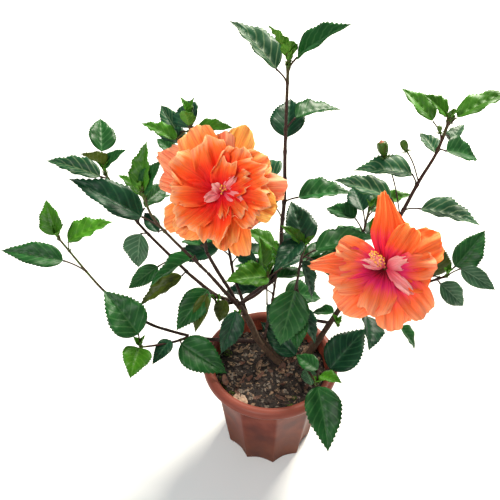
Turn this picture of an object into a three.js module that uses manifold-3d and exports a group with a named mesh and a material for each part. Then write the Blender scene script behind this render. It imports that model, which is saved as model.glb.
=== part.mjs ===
// A young hibiscus shrub with two large orange double blooms, growing in a fluted plastic pot.
// Millimetres, +Z up. The pot's axis is the Z axis and its flat underside lies on z = 0.
// A bearing is an angle in degrees seen from above, 0 along +X and 90 along +Y.
// A lift is an angle in degrees above the horizontal.

import * as THREE from 'three';
import { mergeVertices } from 'three/addons/utils/BufferGeometryUtils.js';
import Module from 'manifold-3d';

const wasm = await Module();
wasm.setup();

// Neighbouring pieces keep this much clear of each other.
const CLEARANCE = 0.3;

const POT = {
  height: 200,
  rimRadius: 115,
  rollRadius: 9,
  neckRadius: 99,
  neckHeight: 184,
  footRadius: 78,
  wall: 3.5,
  floor: 6,
  flutes: 10,
  fluteDepth: { foot: 8.5, top: 5 },
  fluteTop: 165,
  fluteFade: 15,
  ridgeBearing: 275,
};

// The soil lies lowest at the back, is heaped a little towards the middle and stands off the wall by its gap.
const SOIL = { level: 177, forwardRise: 0.07, heap: 4, lump: 2.2, gap: 2.2, seed: 5 };

// Stems: the line each follows, and its radius at the foot and at the tip. Each swells at the root by its
// flare and is cut flat on its seat, a level round in the soil.
const STEMS = {
  main_stem: {
    line: [[21, 10, 168], [-2, 8, 205], [-20, 6, 236], [-36, 3, 288], [-57, 0, 336]],
    foot: 5.8, tip: 4.8, flare: 0.9, seat: [17, 10, 178],
  },
  right_stem: {
    line: [[62, 23, 168], [72, 19, 199], [107, 20, 289], [148, 25, 395], [177, 29, 463]],
    foot: 5, tip: 3.2, flare: 0.8, seat: [64, 22, 178],
  },
};
const SEAT_RADIUS = 22;

// How each kind of limb is faceted: [sides, step along it in mm].
const FACETS = {
  stem: [7, 20],
  bough: [5, 24],
  shoot: [5, 27],
  flowerStalk: [5, 14],
  column: [6, 12],
  budStalk: [3, 30],
};

// Boughs: each is one tapering limb that leaves an older limb and ends where its spray of leaves begins.
const BOUGHS = {
  tall_bough: {
    line: [[-50, 3, 326], [-25, 15, 342], [4, 14, 372], [11, 10, 415], [10, 8, 469]],
    foot: 3.6, tip: 3,
  },
  centre_bough: {
    line: [[-52, -2, 332], [-40, -10, 348], [-29, -14, 360], [-21, -17, 371]],
    foot: 2.8, tip: 2.3,
  },
  centre_right_bough: {
    line: [[96, 18, 268], [62, 4, 292], [38, -14, 335], [33, -20, 374]],
    foot: 2.7, tip: 2.3,
  },
  left_bough: { line: [[-56, 2, 330], [-72, 8, 332], [-88, 9, 340], [-125, 10, 381]], foot: 3.3, tip: 2.6 },
  front_left_bough: {
    line: [[-54, -4, 330], [-64, -6, 348], [-76, -7, 368], [-97, -14, 409]],
    foot: 3.2, tip: 2.5,
  },
  left_flower_bough: {
    line: [[-57, 4, 332], [-68, 12, 352], [-84, 10, 390], [-98, 3, 434]],
    foot: 3, tip: 2.5,
  },
  low_left_bough: {
    line: [[-20, 6, 236], [-60, 12, 231], [-106, 14, 232], [-137, 9, 243]],
    foot: 3.4, tip: 2.8,
  },
  far_left_bough: {
    line: [[-137, 11, 244], [-160, 10, 254], [-199, 0, 286], [-239, -8, 344]],
    foot: 2.5, tip: 2.1,
  },
  right_flower_bough: {
    line: [[134, 24, 355], [142, -8, 392], [138, -40, 432], [131, -72, 472]],
    foot: 2.8, tip: 2.4,
  },
  far_right_bough: {
    line: [[143, 24, 380], [180, 14, 372], [206, 2, 374], [227, -8, 381]],
    foot: 2.6, tip: 2.2,
  },
  back_left_bough: { line: [[-38, 4, 292], [-48, 30, 312], [-60, 56, 332]], foot: 3, tip: 2.5 },
  back_right_bough: { line: [[108, 21, 290], [118, 42, 306], [130, 62, 326]], foot: 2.8, tip: 2.3 },
  back_low_bough: { line: [[-12, 8, 222], [-6, 36, 240], [2, 62, 258]], foot: 2.8, tip: 2.3 },
};

// Shoots: each is a green stem that carries a spray of leaves. A leaf is written as [share of the way up the
// stem, bearing, lift of its stalk, stalk length, lift of its blade, blade length, blade width, roll], the
// roll lifting the edge that is on the left as one looks out along the leaf. Spare leaves follow a seeded
// spiral up the stem within the sector of bearings given.
const SHOOTS = {
  tall_shoot: {
    line: [[10, 8, 470], [12, 6, 524], [10, 3, 603], [9, 0, 721]], foot: 3, tip: 1.8, seed: 11,
    leaves: [
      [0.08, 105, -10, 45, -5, 50, 30, 0], [0.2, 355, 25, 21, 12, 72, 46, 0],
      [0.35, 120, -15, 21, -12, 60, 36, 0], [0.52, 83, 15, 26, 31, 61, 44, -5],
      [0.65, 24, 45, 19, 0, 65, 41, -5], [0.9, 147, 38, 20, 36, 78, 44, 0],
      [0.96, 330, 57, 21, 40, 76, 36, 30], [0.99, 210, 79, 13, 56, 45, 18, 20],
      [1, 275, 88, 11, 57, 32, 19, 0],
    ],
  },
  centre_shoot: {
    line: [[-20, -17, 372], [-10, -22, 391], [-9, -30, 422]], foot: 2.2, tip: 1.5, seed: 12,
    leaves: [
      [0.25, 135, 68, 46, -14, 49, 22, -50], [0.4, 324, -88, 39, -73, 59, 26, 5],
      [0.65, 119, 44, 19, 75, 51, 29, 20], [1, 203, -80, 6, 14, 65, 42, -15],
    ],
    spare: { count: 2, from: 20, to: 130, blade: 55 },
  },
  centre_right_shoot: {
    line: [[33, -20, 375], [36, -34, 448], [39, -40, 478]], foot: 2.2, tip: 1.5, seed: 13,
    leaves: [
      [0.4, 242, -68, 24, -61, 90, 56, -20], [0.12, 272, -76, 43, -39, 57, 34, 0],
      [0.13, 315, -67, 37, -61, 64, 24, 5], [0.67, 318, 59, 6, -69, 63, 26, -5],
      [0.75, 10, 35, 24, 8, 91, 46, -5], [0.8, 30, -38, 32, -34, 60, 35, 50],
      [0.9, 233, 72, 26, -9, 64, 30, -5], [0.98, 113, 88, 6, 25, 70, 43, 5],
      [1, 187, 88, 7, 46, 49, 19, -30],
    ],
    spare: { count: 1, from: 30, to: 150, blade: 52 },
  },
  left_shoot: {
    line: [[-126, 10, 382], [-195, 0, 497], [-222, -10, 579]], foot: 2.5, tip: 1.5, seed: 14,
    leaves: [
      [0.04, 205, -37, 10, -24, 79, 28, -10], [0.18, 194, -20, 26, -35, 61, 27, -45],
      [0.45, 243, 38, 21, -70, 53, 40, -5], [0.94, 165, 10, 12, 11, 77, 32, -10],
      [0.98, 233, 88, 15, 46, 45, 28, 30], [1, 357, 85, 11, 42, 41, 20, 25],
      [1, 98, 88, 33, 26, 52, 34, 20],
    ],
    spare: { count: 1, from: 40, to: 110, blade: 50 },
  },
  front_left_shoot: {
    line: [[-98, -14, 410], [-141, -40, 496], [-159, -50, 536], [-168, -55, 579]],
    foot: 2.4, tip: 1.5, seed: 15,
    leaves: [
      [0.1, 197, 69, 22, -31, 80, 40, 10], [0.6, 122, -35, 28, 6, 46, 20, -20],
      [0.6, 175, 38, 36, 34, 102, 46, -20], [0.93, 66, -55, 6, -6, 49, 24, 45],
      [0.88, 141, 88, 11, 20, 51, 19, 5], [0.95, 0, 86, 7, 62, 53, 28, 40],
      [0.97, 77, 88, 6, 63, 61, 32, -20],
    ],
  },
  left_flower_shoot: {
    line: [[-98, 2, 435], [-103, -12, 571], [-105, -36, 672]], foot: 2.4, tip: 1.6, seed: 16,
    leaves: [
      [0.03, 135, -5, 11, -20, 48, 29, 0], [0.09, 65, -65, 6, -13, 42, 25, 0],
      [0.67, 132, -7, 49, 13, 35, 21, 0], [0.88, 118, -25, 49, 15, 58, 22, -25],
      [0.91, 148, -41, 31, 8, 55, 22, -5], [0.93, 332, 0, 9, 15, 51, 18, 30],
      [0.94, 260, 25, 7, 61, 30, 18, 0], [0.92, 97, -28, 17, 15, 50, 34, -30],
    ],
    spare: { count: 2, from: 60, to: 150, blade: 55 },
  },
  low_left_shoot: {
    line: [[-138, 9, 243], [-154, -8, 252], [-184, -40, 278], [-202, -60, 297]],
    foot: 2.4, tip: 1.5, seed: 17,
    leaves: [
      [0.16, 334, -88, 8, -20, 91, 55, 30], [0.37, 240, 88, 6, -10, 50, 24, -20],
      [0.98, 143, 88, 28, 41, 84, 56, -15], [0.98, 262, 38, 7, -6, 53, 42, -15],
    ],
  },
  far_left_shoot: {
    line: [[-240, -8, 345], [-256, -10, 369], [-300, -20, 480]], foot: 2, tip: 1.4, seed: 18,
    leaves: [
      [0.5, 180, 35, 36, 13, 87, 36, -25], [0.8, 25, 85, 16, 13, 68, 43, 0],
      [0.98, 117, 88, 6, 43, 52, 33, -35],
    ],
  },
  fork_shoot: {
    line: [[-62, -6, 338], [-72, -14, 345], [-85, -20, 351]], foot: 2.4, tip: 1.8, seed: 19,
    leaves: [
      [0.3, 238, 60, 16, -60, 38, 24, -12], [0.75, 220, 62, 48, -36, 76, 40, -25],
      [0.96, 240, 57, 49, -53, 60, 22, -12],
    ],
  },
  stem_shoot: {
    line: [[-48, -8, 318], [-54, -24, 320]], foot: 2, tip: 1.8, seed: 20,
    leaves: [[0.7, 241, 69, 22, -48, 69, 36, -40]],
  },
  low_right_shoot: {
    line: [[58, 15, 186], [51, 2, 200], [71, -74, 225]], foot: 2.5, tip: 1.7, seed: 21,
    leaves: [
      [0.2, 148, -17, 10, 21, 85, 40, -25], [0.82, 42, -19, 45, 23, 94, 60, 15],
      [1, 134, 88, 35, -5, 46, 27, -20], [0.95, 320, 73, 22, 21, 42, 24, 0],
      [0.96, 102, -62, 28, -10, 45, 27, 0], [0.98, 279, 11, 7, -30, 99, 57, 0],
    ],
  },
  right_stem_spur: {
    line: [[104, 14, 276], [107, -4, 285]], foot: 1.8, tip: 1.6, seed: 22,
    leaves: [[0.8, 147, 69, 24, -29, 46, 24, -5]],
  },
  under_flower_shoot: {
    line: [[139, 10, 373], [147, -14, 357], [152, -28, 347]], foot: 2, tip: 1.5, seed: 23,
    leaves: [[0.55, 268, -88, 42, -8, 64, 50, -40], [1, 337, -26, 49, -52, 47, 28, 0]],
    spare: { count: 1, from: 20, to: 100, blade: 50 },
  },
  right_shoot: {
    line: [[178, 29, 465], [199, 32, 537], [215, 35, 580], [222, 35, 629]], foot: 3, tip: 1.7, seed: 24,
    leaves: [
      [0.05, 164, 65, 39, 10, 85, 40, -10], [0.15, 333, 22, 25, 0, 82, 50, 0],
      [0.4, 176, 62, 20, 5, 80, 49, -5], [0.73, 103, -60, 6, 7, 50, 25, 0],
      [0.74, 20, -20, 15, -21, 63, 45, 20], [0.84, 126, 38, 27, 23, 65, 30, -10],
      [0.87, 53, -35, 49, 18, 39, 24, -20], [0.92, 20, 48, 20, 19, 82, 30, 5],
      [0.97, 175, 70, 12, 40, 44, 24, -30],
    ],
    buds: [[0.12, 110, 65, 98, 26], [0.45, 165, 62, 62, 15]],
  },
  far_right_shoot: {
    line: [[228, -8, 382], [240, -16, 397], [250, -25, 412]], foot: 2.1, tip: 1.5, seed: 25,
    leaves: [
      [0.5, 350, -48, 10, -43, 59, 32, 50], [0.64, 101, -34, 22, 82, 59, 41, 15],
      [0.85, 36, 22, 23, 39, 69, 40, 40], [1, 344, 49, 24, -27, 61, 26, 50],
    ],
  },
  back_left_shoot: {
    line: [[-61, 58, 333], [-72, 92, 392], [-76, 104, 452]], foot: 2.4, tip: 1.5, seed: 31,
    spare: { count: 9, from: 20, to: 200, blade: 78 },
  },
  back_right_shoot: {
    line: [[131, 64, 327], [146, 92, 382], [154, 104, 440]], foot: 2.2, tip: 1.5, seed: 32,
    spare: { count: 9, from: -20, to: 160, blade: 76 },
  },
  back_low_shoot: {
    line: [[2, 63, 259], [10, 100, 292], [16, 122, 338]], foot: 2.2, tip: 1.5, seed: 33,
    spare: { count: 9, from: 10, to: 170, blade: 78 },
  },
};

// A whorl is [number of petals, first angle, petal length, width, angle from the bloom's axis].
// Angles in a bloom's face run anticlockwise from its right-hand side, seen from in front.
const BLOOMS = {
  left_bloom: {
    centre: [-66, -113, 619], bearing: 273, lift: 36, heartRadius: 16, colour: '#f08a50', seed: 41,
    stalk: [[-101, -14, 566], [-96, -40, 578], [-80, -78, 596]],
    whorls: [[7, 12, 72, 50, 84], [5, 38, 58, 40, 56], [3, 20, 40, 26, 26]],
  },
  right_bloom: {
    centre: [124, -128, 527], bearing: 268, lift: 38, heartRadius: 11, colour: '#ee6f45', seed: 42,
    stalk: [[130.6, -74, 474.6], [128, -92, 494], [126, -106, 510]],
    petals: [
      [92, 92, 42, 70], [166, 86, 46, 75], [34, 72, 57, 66], [216, 76, 64, 69], [256, 62, 47, 60],
      [284, 79, 48, 76], [322, 80, 45, 71], [10, 34, 22, 40], [190, 32, 18, 35],
    ],
    column: { angle: 140, length: 34, lean: 30, radius: 5 },
  },
};

const rad = THREE.MathUtils.degToRad;
const vector = (p) => new THREE.Vector3(...p);

function direction(bearing, lift) {
  const level = new THREE.Vector3(Math.cos(rad(bearing)), Math.sin(rad(bearing)), 0);
  return level.multiplyScalar(Math.cos(rad(lift))).setZ(Math.sin(rad(lift)));
}

// A seeded generator of numbers between 0 and 1, the same on every run.
function seeded(seed) {
  let state = seed * 7919;
  return () => {
    state = (state * 16807) % 2147483647;
    return state / 2147483647;
  };
}

function solidOf(geometry) {
  geometry.deleteAttribute('normal');
  geometry.deleteAttribute('uv');
  const merged = mergeVertices(geometry, 1e-3);
  const corners = [];
  for (let i = 0; i < merged.index.count; i += 3) {
    const [a, b, c] = [merged.index.getX(i), merged.index.getX(i + 1), merged.index.getX(i + 2)];
    if (a !== b && b !== c && c !== a) corners.push(a, b, c);
  }
  return new wasm.Manifold(new wasm.Mesh({
    numProp: 3,
    vertProperties: new Float32Array(merged.attributes.position.array),
    triVerts: new Uint32Array(corners),
  }));
}

function geometryOf(solid) {
  const mesh = solid.getMesh();
  const geometry = new THREE.BufferGeometry();
  geometry.setAttribute('position', new THREE.BufferAttribute(new Float32Array(mesh.vertProperties), 3));
  geometry.setIndex(new THREE.BufferAttribute(new Uint32Array(mesh.triVerts), 1));
  geometry.computeVertexNormals();
  return geometry;
}

// Fusing can leave a scrap, a sliver or a sealed hollow. The solid is welded again and split into its
// closed skins, a hollow's skin having a volume below nothing, and the largest is kept.
function largestPiece(solid) {
  const skins = solidOf(geometryOf(solid)).decompose();
  return skins.reduce((best, skin) => (skin.volume() > best.volume() ? skin : best));
}

// Where two folds of one skin touch along an edge, each is drawn back a few microns against its own
// normal, so that every edge has exactly two faces.
function drawnApart(geometry) {
  const touching = 0.002;
  const drawBack = -0.006;
  const { position, normal } = geometry.attributes;
  const cells = new Map();
  for (let i = 0; i < position.count; i++) {
    const corner = [position.getX(i), position.getY(i), position.getZ(i)];
    const key = corner.map((v) => Math.round(v / touching)).join();
    cells.set(key, [...(cells.get(key) ?? []), i]);
  }
  for (const together of cells.values()) {
    if (together.length === 1) continue;
    for (const i of together) {
      const moved = new THREE.Vector3().fromBufferAttribute(normal, i).multiplyScalar(drawBack);
      moved.add(new THREE.Vector3().fromBufferAttribute(position, i));
      position.setXYZ(i, moved.x, moved.y, moved.z);
    }
  }
  return geometry;
}

// Every vertex of a geometry is moved by a rule that takes and returns a vector.
function reshape(geometry, rule) {
  const position = geometry.attributes.position;
  for (let i = 0; i < position.count; i++) {
    const moved = rule(new THREE.Vector3().fromBufferAttribute(position, i));
    position.setXYZ(i, moved.x, moved.y, moved.z);
  }
  return geometry;
}

// A round limb along a smooth line through the points, its radius given as a function of 0 to 1 along it.
function limb(points, radiusAt, [sides, stepLength]) {
  const path = new THREE.CatmullRomCurve3(points.map(vector), false, 'centripetal');
  const steps = Math.max(2, Math.round(path.getLength() / stepLength));
  const corners = Array.from({ length: sides }, (_, k) => {
    const turn = (k / sides) * 2 * Math.PI;
    return new THREE.Vector2(Math.cos(turn), Math.sin(turn));
  });
  const outline = new THREE.Shape(corners);
  const tube = new THREE.ExtrudeGeometry(outline, { steps, extrudePath: path, bevelEnabled: false });
  const rings = path.getSpacedPoints(steps);
  return solidOf(reshape(tube, (v) => {
    const away = rings.map((ring) => ring.distanceTo(v));
    const nearest = away.indexOf(Math.min(...away));
    return v.sub(rings[nearest]).multiplyScalar(radiusAt(nearest / steps)).add(rings[nearest]);
  }));
}

// A tapering stem, and a guard that cuts its neighbours clear: thicker by the clearance, longer at the tip.
function stemSolids({ line, foot, tip, flare = 0 }, facets) {
  const flareShare = 0.08;
  const radius = (t) => foot + (tip - foot) * t + foot * flare * Math.exp(-t / flareShare);
  const last = vector(line.at(-1));
  const onwards = last.clone().sub(vector(line.at(-2))).setLength(CLEARANCE);
  const longer = [...line.slice(0, -1), last.add(onwards).toArray()];
  return {
    solid: limb(line, radius, facets),
    guard: limb(longer, (t) => radius(t) + CLEARANCE, facets),
  };
}

// A block of a few cells whose local X runs from 0 to 1 out from the foot, bent by a rule.
function blade(cells, rule) {
  const block = new THREE.BoxGeometry(1, 1, 1, cells[0], cells[1], 1);
  return solidOf(reshape(block.translate(0.5, 0, 0), rule));
}

// Where a blade's cross-sections stand along it, and how wide each is, as shares of its length and its width.
const LEAF = {
  stations: [0, 0.32, 0.7, 1],
  widths: [0.08, 1, 0.68, 0.04],
  fold: 25,
  arch: 0.1,
  thickness: 1,
  stalkThickness: 2,
};

// A leaf is one bent strip: its stalk runs from inside the stem to the blade, which is folded along its
// midrib and arches to its tip, and the joint between them is mitred. Swollen by the clearance, it tests
// whether the leaf or its blade has room.
function leaf(stemCurve, row, swell = 0, withStalk = true) {
  const [up, bearing, stalkLift, stalkLength, bladeLift, length, width, roll] = row;
  const outward = direction(bearing, bladeLift);
  const across = direction(bearing + 90, 0).applyAxisAngle(outward, rad(roll));
  const stalkWay = direction(bearing, stalkLift);
  const [upward, aboveStalk, aboveJoint] = [outward, stalkWay, outward.clone().add(stalkWay)].map((way) => (
    way.clone().cross(across).normalize()
  ));
  const root = stemCurve.getPointAt(up);
  const stalkEnd = root.clone().addScaledVector(stalkWay, stalkLength);
  const stalkSections = withStalk ? 1 : 0;
  const cells = [LEAF.stations.length - 1 + stalkSections, 2];
  return blade(cells, (v) => {
    const section = Math.round(v.x * cells[0]) - stalkSections;
    if (section < 0) {
      const half = LEAF.stalkThickness / 2 + swell;
      return root.clone().addScaledVector(across, 2 * v.y * half).addScaledVector(aboveStalk, 2 * v.z * half);
    }
    const along = LEAF.stations[section];
    const side = 2 * v.y * (0.5 * width * LEAF.widths[section] + swell);
    const depth = (section ? LEAF.thickness : LEAF.stalkThickness) + 2 * swell;
    const rise = Math.abs(side) * Math.tan(rad(LEAF.fold)) + LEAF.arch * length * along * (1 - along);
    return stalkEnd.clone().addScaledVector(outward, along * length).addScaledVector(across, side)
      .addScaledVector(upward, rise).addScaledVector(section ? upward : aboveJoint, v.z * depth);
  });
}

// Leaves that the view from the front doesn't settle: a spiral up the stem, folded into the sector. Towards
// the stem's tip the blades grow shorter and rise. Each pair is a value and what chance adds to it.
const SPIRAL = {
  turn: 137.5,
  sway: 30,
  lowest: 0.12,
  span: 0.86,
  stalkLift: [10, 45],
  stalk: [14, 14],
  bladeLift: [-40, 20],
  widthShare: 0.6,
  roll: [-15, 30],
};

function spareLeaves({ spare, seed }) {
  if (!spare) return [];
  const random = seeded(seed);
  const chance = ([value, extra]) => value + extra * random();
  return Array.from({ length: spare.count }, (_, k) => {
    const up = SPIRAL.lowest + (SPIRAL.span * chance([k, 0.6])) / spare.count;
    const bearing = spare.from + (chance([k * SPIRAL.turn, SPIRAL.sway]) % (spare.to - spare.from));
    const stalk = [chance(SPIRAL.stalkLift), chance(SPIRAL.stalk)];
    const bladeLift = chance(SPIRAL.bladeLift) + 45 * up;
    const length = spare.blade * (1.1 - 0.35 * up);
    return [up, bearing, ...stalk, bladeLift, length, SPIRAL.widthShare * length, chance(SPIRAL.roll)];
  });
}

// A flower bud: a plump body on a thin stalk.
function bud(stemCurve, [up, bearing, lift, stalkLength, length]) {
  const root = stemCurve.getPointAt(up);
  const end = root.clone().addScaledVector(direction(bearing, lift), stalkLength);
  const stalk = limb([root.toArray(), end.toArray()], () => 1, FACETS.budStalk);
  const body = new THREE.SphereGeometry(0.5, 6, 4);
  const plumpness = 0.52;
  body.scale(plumpness * length, plumpness * length, length);
  body.translate(end.x, end.y, end.z);
  return stalk.add(solidOf(body));
}

// The row of a leaf, or where that leaf would touch another piece the nearest turn of it that is clear, or
// nothing. A spare leaf also keeps its blade off the stem and blades of its own shoot.
function rowWithRoom(stemCurve, row, others, own) {
  for (const turn of [0, 8, -8, 16, -16, 26, -26]) {
    for (const raise of [0, 10, -10]) {
      const [up, bearing, stalkLift, stalkLength, bladeLift, ...size] = row;
      const turned = [up, bearing + turn, stalkLift, stalkLength, bladeLift + raise, ...size];
      const clearOfOthers = leaf(stemCurve, turned, CLEARANCE).intersect(others).isEmpty();
      const clearOfOwn = !own || leaf(stemCurve, turned, CLEARANCE, false).intersect(own).isEmpty();
      if (clearOfOthers && clearOfOwn) return turned;
    }
  }
  return null;
}

// A petal is widest two thirds of the way out, cupped across and curled back along its length. All the
// petals spring from a round heart that lies below the bloom's face.
const PETAL = {
  thickness: 1.2,
  widths: [0.12, 0.72, 1, 0.6],
  cup: 0.4,
  recurve: 0.16,
  rootRadius: 3,
  heartDepth: 16,
};

function petal(frame, [angle, length, width, opening]) {
  const cells = [PETAL.widths.length - 1, 2];
  const outward = new THREE.Vector3(Math.cos(rad(angle)), Math.sin(rad(angle)), 0);
  outward.multiplyScalar(Math.sin(rad(opening))).setZ(Math.cos(rad(opening)));
  const across = new THREE.Vector3(-Math.sin(rad(angle)), Math.cos(rad(angle)), 0);
  const inner = outward.clone().cross(across);
  const placement = new THREE.Matrix4().makeBasis(outward, across, inner).premultiply(frame);
  return blade(cells, (v) => {
    const rise = PETAL.cup * width * v.y * v.y - PETAL.recurve * length * v.x * v.x;
    const side = v.y * width * PETAL.widths[Math.round(v.x * cells[0])];
    const along = PETAL.rootRadius + v.x * (length - PETAL.rootRadius);
    return new THREE.Vector3(along, side, rise + v.z * PETAL.thickness).applyMatrix4(placement);
  });
}

// The petals of a bloom: those given one by one, and those of the whorls, none quite like its neighbour.
function petalRows({ whorls = [], petals = [], seed }) {
  const random = seeded(seed);
  const rows = [...petals];
  for (const [count, first, length, width, opening] of whorls) {
    for (let k = 0; k < count; k++) {
      const angle = first + (360 * (k + 0.25 * random())) / count;
      const size = [length * (0.92 + 0.16 * random()), width * (0.9 + 0.2 * random())];
      rows.push([angle, ...size, opening - 8 * random()]);
    }
  }
  return rows;
}

function bloom(shape) {
  const { centre, bearing, lift, stalk, column, heartRadius } = shape;
  const facing = direction(bearing, lift);
  const right = direction(bearing + 90, 0);
  const up = facing.clone().cross(right);
  const heart = vector(centre).addScaledVector(facing, -PETAL.heartDepth);
  const frame = new THREE.Matrix4().makeBasis(right, up, facing).setPosition(heart);
  const cup = new THREE.SphereGeometry(heartRadius, 8, 6).applyMatrix4(frame);
  const stalkRadius = (t) => 1.8 + 3 * t * t;
  let flower = solidOf(cup).add(limb([...stalk, heart.toArray()], stalkRadius, FACETS.flowerStalk));
  for (const row of petalRows(shape)) flower = flower.add(petal(frame, row));
  if (column) {
    const lean = new THREE.Vector3(Math.cos(rad(column.angle)), Math.sin(rad(column.angle)), 0);
    lean.multiplyScalar(Math.sin(rad(column.lean))).setZ(Math.cos(rad(column.lean)));
    const tip = lean.multiplyScalar(column.length).applyMatrix4(frame);
    const columnRadius = (t) => column.radius * (0.5 + 0.5 * t);
    flower = flower.add(limb([heart.toArray(), tip.toArray()], columnRadius, FACETS.column));
  }
  return largestPiece(flower);
}

// How far the wall stands in from the round, by bearing and height: nothing on a ridge, most in mid flute.
function fluteInset(bearing, height) {
  const pitch = 360 / POT.flutes;
  const fromRidge = (((bearing - POT.ridgeBearing) % pitch) + pitch) % pitch;
  const across = (2 * fromRidge) / pitch - 1;
  const fade = THREE.MathUtils.smoothstep(POT.fluteTop + POT.fluteFade - height, 0, POT.fluteFade);
  const depth = THREE.MathUtils.lerp(POT.fluteDepth.foot, POT.fluteDepth.top, height / POT.fluteTop);
  return depth * (1 - across * across) * fade;
}

const wallRadius = (height) => POT.footRadius + ((POT.neckRadius - POT.footRadius) * height) / POT.neckHeight;

// A lathe turned about Z from [radius, height] points, with the flutes pressed into all but the rim.
function turned(profile) {
  const around = POT.flutes * 4;
  const lathe = new THREE.LatheGeometry(profile.map(([r, z]) => new THREE.Vector2(r, z)), around);
  lathe.rotateX(Math.PI / 2);
  lathe.rotateZ(rad(POT.ridgeBearing));
  return reshape(lathe, (v) => {
    const radius = Math.hypot(v.x, v.y);
    if (radius < POT.footRadius / 2) return v;
    const inset = fluteInset(THREE.MathUtils.radToDeg(Math.atan2(v.y, v.x)), v.z);
    return v.set(v.x * (1 - inset / radius), v.y * (1 - inset / radius), v.z);
  });
}

function potWithRoll() {
  const roll = [-140, -85, -30, 25, 80, 130, 175].map((turn) => [
    POT.rimRadius - POT.rollRadius + POT.rollRadius * Math.cos(rad(turn)),
    POT.height - POT.rollRadius + POT.rollRadius * Math.sin(rad(turn)),
  ]);
  const fluteEnds = [0, 0.5, 1].map((share) => POT.fluteTop + share * POT.fluteFade);
  const inside = [POT.floor, ...fluteEnds].reverse().map((z) => [wallRadius(z) - POT.wall, z]);
  const outside = fluteEnds.map((z) => [wallRadius(z), z]);
  const foot = [[0, 0], [POT.footRadius - 2, 0], [wallRadius(3), 3]];
  return solidOf(turned([...foot, ...outside, ...roll, ...inside, [0, POT.floor]]));
}

function soilHeight(x, y, random) {
  const heap = SOIL.heap * (1 - (x * x + y * y) / POT.neckRadius ** 2);
  return SOIL.level - SOIL.forwardRise * y + heap + SOIL.lump * (random() - 0.5);
}

function soilAround(seats) {
  const edge = (z) => wallRadius(z) - POT.wall - SOIL.gap;
  const top = SOIL.level - 12;
  const bottom = POT.floor + CLEARANCE;
  const sides = [bottom, top - 5].map((z) => [edge(z), z]);
  const rings = [1, 0.7, 0.35].map((share) => [edge(top) * share, top]);
  const random = seeded(SOIL.seed);
  const heights = new Map();
  let heap = turned([[0, bottom], ...sides, ...rings, [0, top]]);
  heap = reshape(heap, (v) => {
    if (v.z < top - 1) return v;
    const key = `${v.x.toFixed(1)},${v.y.toFixed(1)}`;
    if (!heights.has(key)) heights.set(key, soilHeight(v.x, v.y, random));
    return v.setZ(heights.get(key));
  });
  return seats.reduce((rest, seat) => rest.subtract(seat), solidOf(heap));
}

// A stem that grows from the soil stands on a flat round seat, and its own foot is cut flat just above that.
function footCut([x, y, level]) {
  const depth = 40;
  const block = new THREE.CylinderGeometry(SEAT_RADIUS, SEAT_RADIUS, depth, 12).rotateX(Math.PI / 2);
  return {
    below: solidOf(block.clone().translate(x, y, level - depth / 2)),
    seat: solidOf(block.translate(x, y, level - CLEARANCE + depth / 2)),
  };
}

const COLOURS = {
  pot: { color: '#9a5c4c', roughness: 0.55, metalness: 0 },
  soil: { color: '#3b2c22', roughness: 0.95, metalness: 0 },
  bark: { color: '#5a3f33', roughness: 0.85, metalness: 0 },
  leaves: { color: '#2b6244', roughness: 0.4, metalness: 0 },
};

const plant = new THREE.Group();

function place(name, solid, material) {
  const mesh = new THREE.Mesh(drawnApart(geometryOf(solid)), new THREE.MeshStandardMaterial(material));
  mesh.name = name;
  plant.add(mesh);
}

const pot = potWithRoll();
place('pot', pot, COLOURS.pot);
let occupied = pot;

// Each woody limb is cut clear of the older limbs that it grows from.
const guards = [];
const seats = [];
for (const [name, shape] of Object.entries({ ...STEMS, ...BOUGHS })) {
  const { solid, guard } = stemSolids(shape, shape.seat ? FACETS.stem : FACETS.bough);
  let wood = guards.reduce((rest, older) => rest.subtract(older), solid);
  if (shape.seat) {
    const { below, seat } = footCut(shape.seat);
    wood = wood.subtract(below);
    seats.push(seat);
  }
  wood = largestPiece(wood);
  guards.push(guard);
  occupied = occupied.add(wood);
  place(name, wood, COLOURS.bark);
}

const soil = soilAround(seats);
place('soil', soil, COLOURS.soil);
occupied = occupied.add(soil);

// The green stems come before any leaf, so that no leaf grows through a stem.
const greenStems = {};
for (const [name, shoot] of Object.entries(SHOOTS)) {
  const { solid, guard } = stemSolids(shoot, FACETS.shoot);
  greenStems[name] = largestPiece(guards.reduce((rest, older) => rest.subtract(older), solid));
  guards.push(guard);
}

const flowers = {};
for (const [name, shape] of Object.entries(BLOOMS)) {
  flowers[name] = largestPiece(guards.reduce((rest, older) => rest.subtract(older), bloom(shape)));
  occupied = occupied.add(flowers[name]);
  place(name, flowers[name], { color: shape.colour, roughness: 0.6, metalness: 0 });
}

for (const [name, shoot] of Object.entries(SHOOTS)) {
  const others = Object.keys(greenStems).filter((other) => other !== name).map((other) => greenStems[other]);
  const obstacles = occupied.add(wasm.Manifold.union(others));
  const curve = new THREE.CatmullRomCurve3(shoot.line.map(vector), false, 'centripetal');
  let spray = greenStems[name];
  let ownBlades = spray;
  const placed = shoot.leaves ?? [];
  for (const row of [...placed, ...spareLeaves(shoot)]) {
    const clearRow = rowWithRoom(curve, row, obstacles, placed.includes(row) ? null : ownBlades);
    if (!clearRow) continue;
    spray = spray.add(leaf(curve, clearRow));
    ownBlades = ownBlades.add(leaf(curve, clearRow, 0, false));
  }
  for (const row of shoot.buds ?? []) spray = spray.add(bud(curve, row));
  spray = largestPiece(spray);
  greenStems[name] = spray;
  occupied = occupied.add(spray);
  place(`${name}_leaves`, spray, COLOURS.leaves);
}

export default plant;
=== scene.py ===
# A young hibiscus shrub with two large orange double blooms, in a fluted plastic pot. The sections follow the
# plant as it stands: pot, soil, woody stems, green shoots, leaves, buds, blooms, and the studio round it.
# Tables are in millimetres, as in the part's source. A bearing is seen from above, 0 along +X, 90 along +Y.

import math

import bmesh
import bpy
from mathutils import Matrix, Vector, noise
from mathutils.bvhtree import BVHTree


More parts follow.
